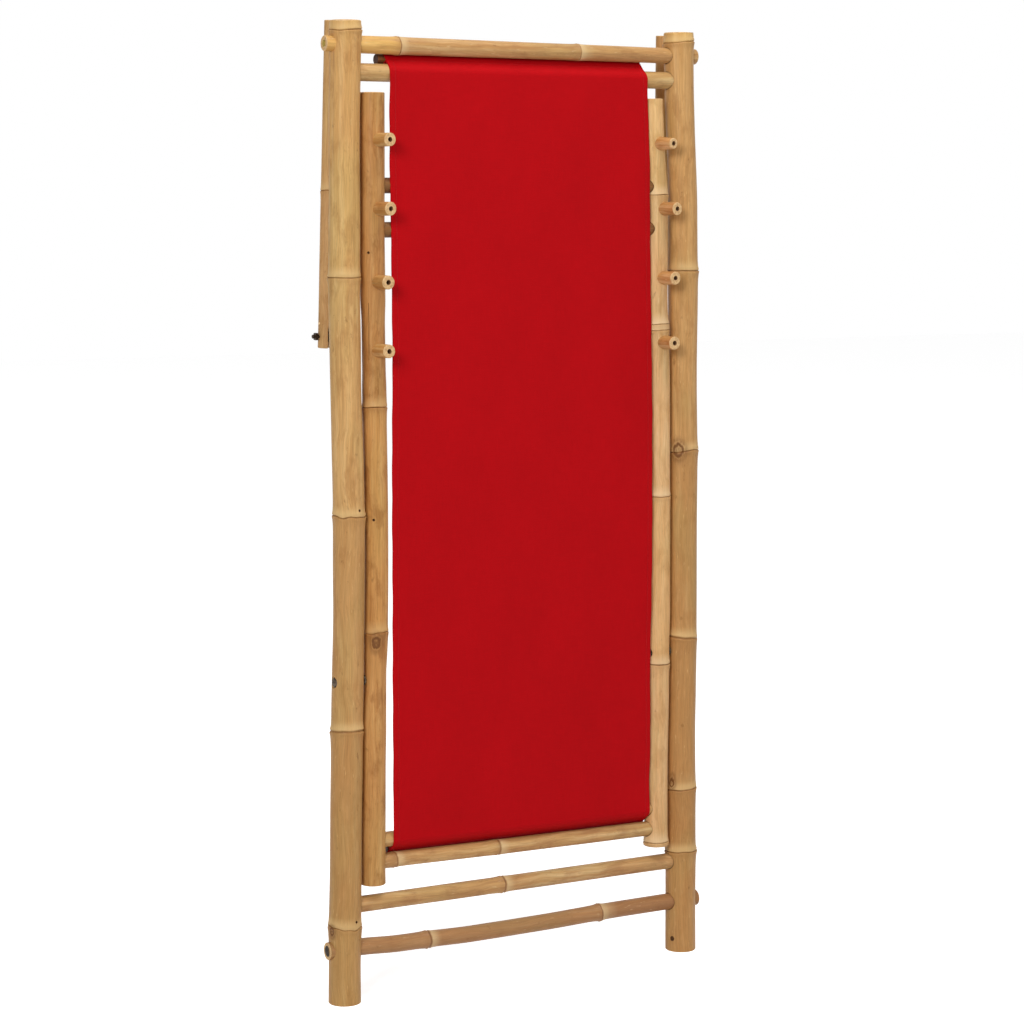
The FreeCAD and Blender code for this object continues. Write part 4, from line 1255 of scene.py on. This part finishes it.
# How much wider than half its width the sling is, down each edge: height and amount, in mm
EDGE_LEFT = np.array((
    (195, -2.5), (230, -2.6), (500, -1.6), (600, -0.5), (740, -0.4), (800, -0.6), (900, 0.4),
    (1000, 1.6), (1060, 3.4), (1140, 3.8), (1165, 3.8), (1180, 4.5), (1195, 4.0),
)).T
EDGE_RIGHT = np.array((
    (182, 0.5), (190, 0.0), (212, 0.3), (240, 0.8), (290, 2.6), (320, 2.6), (400, 2.4),
    (480, 4.2), (600, 5.0), (730, 5.0), (800, 3.8), (900, 2.6), (1080, 0.6), (1120, -1.3),
    (1140, -2.2), (1170, -3.8), (1186, -4.6), (1198, -6.0),
)).T
# Distances of the cloth's outer columns from its edge, in mm, for a hem 9 mm wide
HEM_COLUMNS = (0.0, 0.25, 0.7, 1.5, 2.8, 4.4, 6.0, 6.9, 7.4, 7.9, 8.5, 9.0, 9.5, 10.5, 12.5)
SEWN_IN = 20 * MM  # the sleeves' seams, and where the hem's back stitches end
PROUD = 0.02 * MM  # how far a stitch's middle lies above the cloth


def arc_points(centre, radius, first, last, step):
    count = max(2, int(abs(last - first) * radius / step) + 1)
    turns = np.linspace(first, last, count)
    return np.stack((centre[0] + radius * np.cos(turns), centre[1] + radius * np.sin(turns)), -1)


def sleeve_end(rail, rail_radius, dowel, dowel_radius, way, thickness):
    """Cloth from the front of a rail over it and round its dowel, as (y, z) points.

    The cloth turns back and is sewn to itself. Way is 1 at the top and -1 at the bottom.
    """
    rail, pin = ((middle.y, middle.z) for middle in (centre_of(rail), centre_of(dowel)))
    clear = 0.3 * MM + thickness / 2.0
    bar_r, loop_r = rail_radius * MM + clear, dowel_radius * MM + clear
    pin = np.array((pin[0] - rail[0], way * (pin[1] - rail[1])))
    apart = np.hypot(*pin)
    leave = math.atan2(pin[1], pin[0]) + math.acos((bar_r - loop_r) / apart)
    normal = np.array((math.cos(leave), math.sin(leave)))
    from_bar, to_loop = normal * bar_r, pin + normal * loop_r
    under = from_bar - normal * thickness * 1.05
    sewn, tail = (under + (to_loop - from_bar) * share for share in (0.55, 0.28))
    to_sewn = sewn - pin
    close = math.atan2(to_sewn[1], to_sewn[0]) + math.acos(loop_r / np.hypot(*to_sewn))
    while close > leave - math.pi:
        close -= TURN
    loop = arc_points(pin, loop_r, leave, close, 0.8 * MM)
    points = np.concatenate((
        arc_points((0, 0), bar_r, math.pi, leave, 0.8 * MM),
        np.linspace(from_bar, to_loop, 14)[1:], loop[1:], np.linspace(loop[-1], sewn, 10)[1:],
        np.linspace(sewn, tail, 7)[1:],
    ))
    points[:, 1] *= way
    return points + np.array(rail)


def sling_line(canvas):
    """The cloth's middle line from its upper tail to its lower one, and the front's ends."""
    upper = sleeve_end(
        "sling_rail", SLING_RAIL_R, "sleeve_dowel_upper", UPPER_DOWEL_R, 1, canvas.thickness
    )
    lower = sleeve_end(
        "sling_rung", SLING_RUNG_R, "sleeve_dowel_lower", LOWER_DOWEL_R, -1, canvas.thickness
    )
    front = np.linspace(upper[0], lower[0], 170)[1:-1]
    line = np.concatenate((upper[::-1], front, lower))
    along = np.concatenate(((0.0,), np.cumsum(np.hypot(*np.diff(line, axis=0).T))))
    return line, along, len(upper) - 1, len(upper) + len(front)


def sling_grid(canvas):
    """The cloth's middle surface: points, normals, columns, their edge distance and hems."""
    line, along, first, last = sling_line(canvas)
    ahead = np.gradient(line, along, axis=0)
    ahead /= np.hypot(*ahead.T)[:, None]
    outward = np.stack((ahead[:, 1], -ahead[:, 0]), -1)
    half = canvas.width / 2.0
    near = np.array(HEM_COLUMNS) * MM * canvas.hem_width / (9.0 * MM)
    from_edge = np.concatenate((near, np.linspace(16 * MM, half, 15)[:-1]))
    columns = np.concatenate((-(half - from_edge), (0.0,), (half - from_edge)[::-1]))
    edge_gap = half - np.abs(columns)
    left, right = (np.interp(line[:, 1] / MM, *edge) * MM for edge in (EDGE_LEFT, EDGE_RIGHT))
    middle = centre_of("canvas_sling").x
    weight = np.clip(np.abs(columns) / half, 0, 1) ** 3
    x = middle + columns
    x = x + np.where(columns < 0, -left[:, None] * weight, right[:, None] * weight)
    down = along[:, None]
    x += 0.25 * MM * np.sin(down * 95 + 1.3 * np.sign(columns)) * (edge_gap < 3 * MM)
    run = along[last] - along[first]
    inside = (along - along[first]) / run
    wrapped = smooth_step(1.0 - inside * run / 0.045)
    wrapped = wrapped + smooth_step(1.0 - (1.0 - inside) * run / 0.045)
    wrapped[: first + 1] = wrapped[last:] = 1.0
    wrapped = wrapped[:, None]
    billow = 0.45 * MM * np.sin(down * 9.0 + columns * 13.0)
    billow = billow + 0.3 * MM * np.sin(down * 23.0 - columns * 17.0 + 1.0)
    curl = -1.6 * MM * np.exp(-edge_gap / (5 * MM))
    pucker = 0.3 * MM * np.sin(down * 210.0 + 4.0 * np.sign(columns))
    pucker = pucker * np.exp(-((edge_gap / (5 * MM)) ** 2)) * (0.35 + 0.65 * wrapped)
    doubled = smooth_step((canvas.hem_width - edge_gap) / (0.7 * MM))
    lift = (billow + curl) * (1.0 - wrapped) + pucker
    lift = lift + doubled * canvas.thickness * 0.5 * wrapped
    y, z = (line[:, None, axis] + outward[:, None, axis] * lift for axis in (0, 1))
    rightward = np.clip((x - middle + 200 * MM) / (400 * MM), 0, 1)
    z = z - RIGHT_DROP * MM * rightward * smooth_step((0.40 - z) / 0.19)
    return np.stack((x, y, z), -1), outward, columns, edge_gap, doubled


def sling_mesh(canvas):
    """The sling as a closed thin cloth with doubled, rounded side hems."""
    points, outward, columns, edge_gap, doubled = sling_grid(canvas)
    _, along, _, _ = sling_line(canvas)
    rows, count = points.shape[:2]
    half = canvas.thickness / 2.0
    crease = np.exp(-(((edge_gap - canvas.seam_inset) / (0.9 * MM)) ** 2))
    front = half - 0.16 * MM * crease
    back = half + doubled * canvas.thickness * 0.9
    round_off = np.sqrt(np.clip(1.0 - (1.0 - np.clip(edge_gap / (0.9 * MM), 0, 1)) ** 2, 0, 1))
    middle, thick = (front - back) / 2.0, (front + back) / 2.0 * round_off
    out = np.zeros((rows, 1, 3))
    out[:, 0, 1:] = outward
    outer = points + out * (middle + thick)[None, :, None]
    inner = points + out * (middle - thick)[None, :, None]
    loop = np.concatenate((outer, inner[:, -2:0:-1]), axis=1)
    size = loop.shape[1]
    faces = tube_faces(rows, size)
    for low in (0, (rows - 1) * size):
        for side in range(count - 1):
            corners = (side, side + 1, (size - side - 1) % size, (size - side) % size)
            faces.append(tuple(dict.fromkeys(low + corner for corner in corners)))
    data = bpy.data.meshes.new("canvas_sling_cloth")
    data.from_pydata(loop.reshape(-1, 3).tolist(), [], faces)
    place = np.zeros((rows, size, 3))
    place[:, :, 0] = np.concatenate((columns, columns[-2:0:-1]))
    place[:, :, 1] = along[:, None]
    gap = np.concatenate((edge_gap, edge_gap[-2:0:-1])) / MM
    write_attribute(data, "cloth_place", "FLOAT_VECTOR", "vector", place)
    write_attribute(data, "edge_gap", "FLOAT", "value", np.tile(gap, rows))
    outward_faces(data)
    return data


def stitch(centre, ahead, outward, canvas):
    """One stitch: a short bent piece of thread with rounded ends."""
    rings = []
    for place, size in ((-0.5, 0.25), (-0.36, 0.9), (0.0, 1.0), (0.36, 0.9), (0.5, 0.25)):
        sink = -0.9 * canvas.stitch_radius * (2.0 * place) ** 2
        middle = centre + ahead * place * canvas.stitch_length + outward * sink
        rings.append((middle, size * canvas.stitch_radius))
    return tube(rings, ahead.cross(outward), outward, 6, 0)


def stitch_rows(canvas):
    """Stitches down both hems, on both faces, and along both sleeve seams."""
    points, outward, columns, edge_gap, _ = sling_grid(canvas)
    _, along, first, last = sling_line(canvas)
    shapes = []
    front = canvas.thickness / 2.0 + PROUD
    back = canvas.thickness / 2.0 + canvas.thickness * 0.9 - PROUD
    low, high = along[first], along[last]
    for sign in (-1, 1):
        column = int(np.argmin(np.abs(edge_gap - canvas.seam_inset) + (columns * sign < 0)))
        for place in np.arange(low - 14 * MM, high + 12 * MM, canvas.stitch_pitch):
            spot = Vector([np.interp(place, along, points[:, column, axis]) for axis in range(3)])
            normal = [np.interp(place, along, outward[:, axis]) for axis in range(2)]
            out = Vector((0.0, *normal)).normalized()
            ahead = Vector((0.0, -out.z, out.y))
            shapes.append(stitch(spot + out * front, ahead, out, canvas))
            if low + SEWN_IN < place < high - SEWN_IN:
                shapes.append(stitch(spot - out * back, ahead, -out, canvas))
    for target in (low - SEWN_IN, high + SEWN_IN):
        near = int(np.argmin(np.abs(along - target)))
        out = Vector((0.0, *outward[near]))
        for x in np.arange(points[near, 14, 0], points[near, -15, 0], canvas.stitch_pitch):
            spot = Vector((x, *points[near, len(columns) // 2, 1:]))
            shapes.append(stitch(spot + out * front, ACROSS, out, canvas))
    return shapes


def canvas_material():
    canvas = bpy.context.scene.deck_chair_canvas
    inputs = {
        "Place": "cloth_place", "Edge": "edge_gap", "Seam": canvas.seam_inset / MM,
        "Threads": 1.0 / canvas.thread_pitch, "Cloth": canvas.red, "Gap": canvas.dark_red,
    }
    gloss = {"Specular IOR Level": 0.10}
    return surface(
        "canvas_weave", plain_weave(), inputs, 0.78, 0.35, 0.18 * MM, constants=gloss
    )


def thread_material():
    canvas = bpy.context.scene.deck_chair_canvas
    material, n, shader = new_material("sewing_thread")
    twist = n.noise(n.here(), (5200, 5200, 3000), 2.0)
    base = n.blend(n.spread(twist, 0.4, 0.6), canvas.dark_red, canvas.thread_red)
    n.put(base, shader.inputs["Base Color"])
    n.put(0.6, shader.inputs["Roughness"])
    n.bump(twist, 0.4, 0.1 * MM, shader)
    return material


class DECKCHAIR_OT_canvas_sling(Operator):
    """Cuts, hems and hangs the canvas sling, and sews its hems and sleeves"""

    bl_idname = "deck_chair.canvas_sling"
    bl_label = "Canvas Sling"

    def execute(self, context):
        canvas = context.scene.deck_chair_canvas
        cloth = make_piece(sling_mesh(canvas), (canvas_material(),))
        sewn = joined_mesh("canvas_sling_stitches", stitch_rows(canvas))
        stitches = make_piece(sewn, (thread_material(),))
        for piece in (cloth, stitches):
            piece.data.shade_smooth()
            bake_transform(piece)
        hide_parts("canvas_sling")
        float(sling_line(canvas)[1][-1])
        return {"FINISHED"}


STEEL_NODES = (
    "pivot_bolts", "pivot_nuts", "pivot_washers", "pivot_spacers", "screw_eyes", "prop_pins",
    "prop_nuts", "back_frame_nails", "seat_frame_nails",
)


class DECKCHAIR_OT_metal_parts(Operator):
    """Gives the bolts, nuts, pins, screw eyes, nails and tacks their metal"""

    bl_idname = "deck_chair.metal_parts"
    bl_label = "Metal Parts"

    def execute(self, context):
        metal = context.scene.deck_chair_metal
        for name, tint, amount, rough, nodes in (
            ("worn_steel", metal.steel, 0.75, 0.34, STEEL_NODES),
            ("worn_brass", metal.brass, 0.25, 0.30, ("prop_tacks",)),
        ):
            inputs = {"Place": None, "Metal": tint, "Tarnish": metal.tarnish, "Amount": amount}
            material = surface(
                name, metal_wear(), inputs, rough, 0.3, 0.1 * MM, constants={"Metallic": 1.0}
            )
            for node in nodes:
                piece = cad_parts[node]
                for slot in piece.material_slots:
                    slot.material = material
                if not piece.material_slots:
                    piece.data.materials.append(material)
        return {"FINISHED"}


FLOOR_HALF, FLOOR_GLOW, SENSOR_WIDTH = 14.0, 0.78, 36.0
LAMPS_AIM = Vector((0.0, 0.0, 0.7))
WHITE = (1.0, 1.0, 1.0)


def seen_directly(n):
    """1 for the camera's own rays and for what metal and glass reflect, 0 for lighting."""
    path = n.add("ShaderNodeLightPath").outputs
    seen = n.math("MAXIMUM", path["Is Camera Ray"], path["Is Glossy Ray"])
    return n.math("MAXIMUM", seen, path["Is Transmission Ray"])


def floor_material(tint):
    """A matt floor that glows for the camera, so that it runs into the white room."""
    material, n, _ = new_material("pale_floor")
    material.node_tree.nodes.clear()
    cloudy = n.noise(n.here(), (2.5, 2.5, 2.5), 4.0, 0.5)
    tint = n.blend(cloudy, tint, (0.90, 0.90, 0.90))
    plain = n.add("ShaderNodeBsdfDiffuse", {"Color": tint, "Roughness": 0.6}).outputs[0]
    glow = n.add("ShaderNodeEmission", {"Color": WHITE, "Strength": FLOOR_GLOW}).outputs[0]
    both = n.add("ShaderNodeAddShader", {0: plain, 1: glow}).outputs[0]
    mix = n.add("ShaderNodeMixShader", {0: seen_directly(n), 1: plain, 2: both}).outputs[0]
    n.add("ShaderNodeOutputMaterial", {"Surface": mix})
    return material


class DECKCHAIR_OT_stage(Operator):
    """Lays the floor, hangs the lamps and sets the camera"""

    bl_idname = "deck_chair.stage"
    bl_label = "Stage"

    def execute(self, context):
        scene = context.scene
        stage = scene.deck_chair_stage
        data = bpy.data.meshes.new("floor")
        signs = ((-1, -1), (1, -1), (1, 1), (-1, 1))
        corners = [(x * FLOOR_HALF, y * FLOOR_HALF, 0) for x, y in signs]
        data.from_pydata(corners, [], [(0, 1, 2, 3)])
        make_piece(data, (floor_material(stage.floor),))

        world = bpy.data.worlds.new("white_room")
        world.use_nodes = True
        world.node_tree.nodes.clear()
        n = Nodes(world.node_tree)
        strength = n.plus(n.times(seen_directly(n), 1.0 - stage.sky), stage.sky)
        sky = n.add("ShaderNodeBackground", {"Color": WHITE, "Strength": strength})
        n.add("ShaderNodeOutputWorld", {"Surface": sky.outputs[0]})
        scene.world = world

        for name, place, width, watts in (
            ("key", (-3.2, -2.8, 2.4), 1.3, stage.key_power),
            ("fill", (2.2, -3.4, 1.2), 2.4, stage.fill_power),
            ("top", (0.2, -0.9, 3.6), 1.6, stage.top_power),
        ):
            lamp = bpy.data.lights.new(name, "AREA")
            lamp.size = width
            lamp.energy = watts
            holder = bpy.data.objects.new(name, lamp)
            holder.location = place
            facing = LAMPS_AIM - Vector(place)
            holder.rotation_euler = facing.to_track_quat("-Z", "Y").to_euler()
            scene.collection.objects.link(holder)

        turn = stage.heading
        ahead = Vector((math.sin(turn), math.cos(turn), 0.0))
        aside = Vector((math.cos(turn), -math.sin(turn), 0.0))
        post = centre_of("back_post_left")
        camera_data = bpy.data.cameras.new("camera")
        camera_data.sensor_width = SENSOR_WIDTH
        camera_data.lens = stage.lens
        camera_data.shift_y = (EYE_LEVEL_ROW - PICTURE_SIZE / 2.0) / PICTURE_SIZE
        camera = bpy.data.objects.new("camera", camera_data)
        camera.location = Vector((post.x, post.y, stage.eye_height))
        camera.location += aside * stage.aside - ahead * stage.distance
        camera.rotation_euler = (math.pi / 2.0, 0.0, -turn)
        scene.collection.objects.link(camera)
        scene.camera = camera
        scene.view_settings.view_transform = "Standard"
        return {"FINISHED"}


class DECKCHAIR_PT_panel(Panel):
    """Lists the pieces of the deck chair."""

    bl_label = "Deck Chair"
    bl_idname = "DECKCHAIR_PT_panel"
    bl_space_type = "VIEW_3D"
    bl_region_type = "UI"
    bl_category = "Deck Chair"

    def draw(self, context):
        for operator in PIECES:
            self.layout.operator(operator.bl_idname)
        for name in SETTINGS:
            box = self.layout.box()
            settings = getattr(context.scene, name)
            for prop in settings.bl_rna.properties:
                if prop.identifier not in ("rna_type", "name"):
                    box.prop(settings, prop.identifier)


PIECES = (
    DECKCHAIR_OT_back_posts,
    DECKCHAIR_OT_back_rungs,
    DECKCHAIR_OT_seat_poles,
    DECKCHAIR_OT_seat_rungs,
    DECKCHAIR_OT_stop_pegs,
    DECKCHAIR_OT_prop_frame,
    DECKCHAIR_OT_sleeve_dowels,
    DECKCHAIR_OT_canvas_sling,
    DECKCHAIR_OT_metal_parts,
    DECKCHAIR_OT_stage,
)
SETTINGS = {
    "deck_chair_bamboo": DECKCHAIR_PG_bamboo,
    "deck_chair_canvas": DECKCHAIR_PG_canvas,
    "deck_chair_metal": DECKCHAIR_PG_metal,
    "deck_chair_stage": DECKCHAIR_PG_stage,
}
CLASSES = (*SETTINGS.values(), *PIECES, DECKCHAIR_PT_panel)


def register():
    for kind in CLASSES:
        bpy.utils.register_class(kind)
    for name, group in SETTINGS.items():
        setattr(bpy.types.Scene, name, PointerProperty(type=group))


def unregister():
    for name in SETTINGS:
        delattr(bpy.types.Scene, name)
    for kind in reversed(CLASSES):
        bpy.utils.unregister_class(kind)


def main():
    register()
    for operator in PIECES:
        area, name = operator.bl_idname.split(".")
        getattr(getattr(bpy.ops, area), name)()


if __name__ == "__main__":
    main()
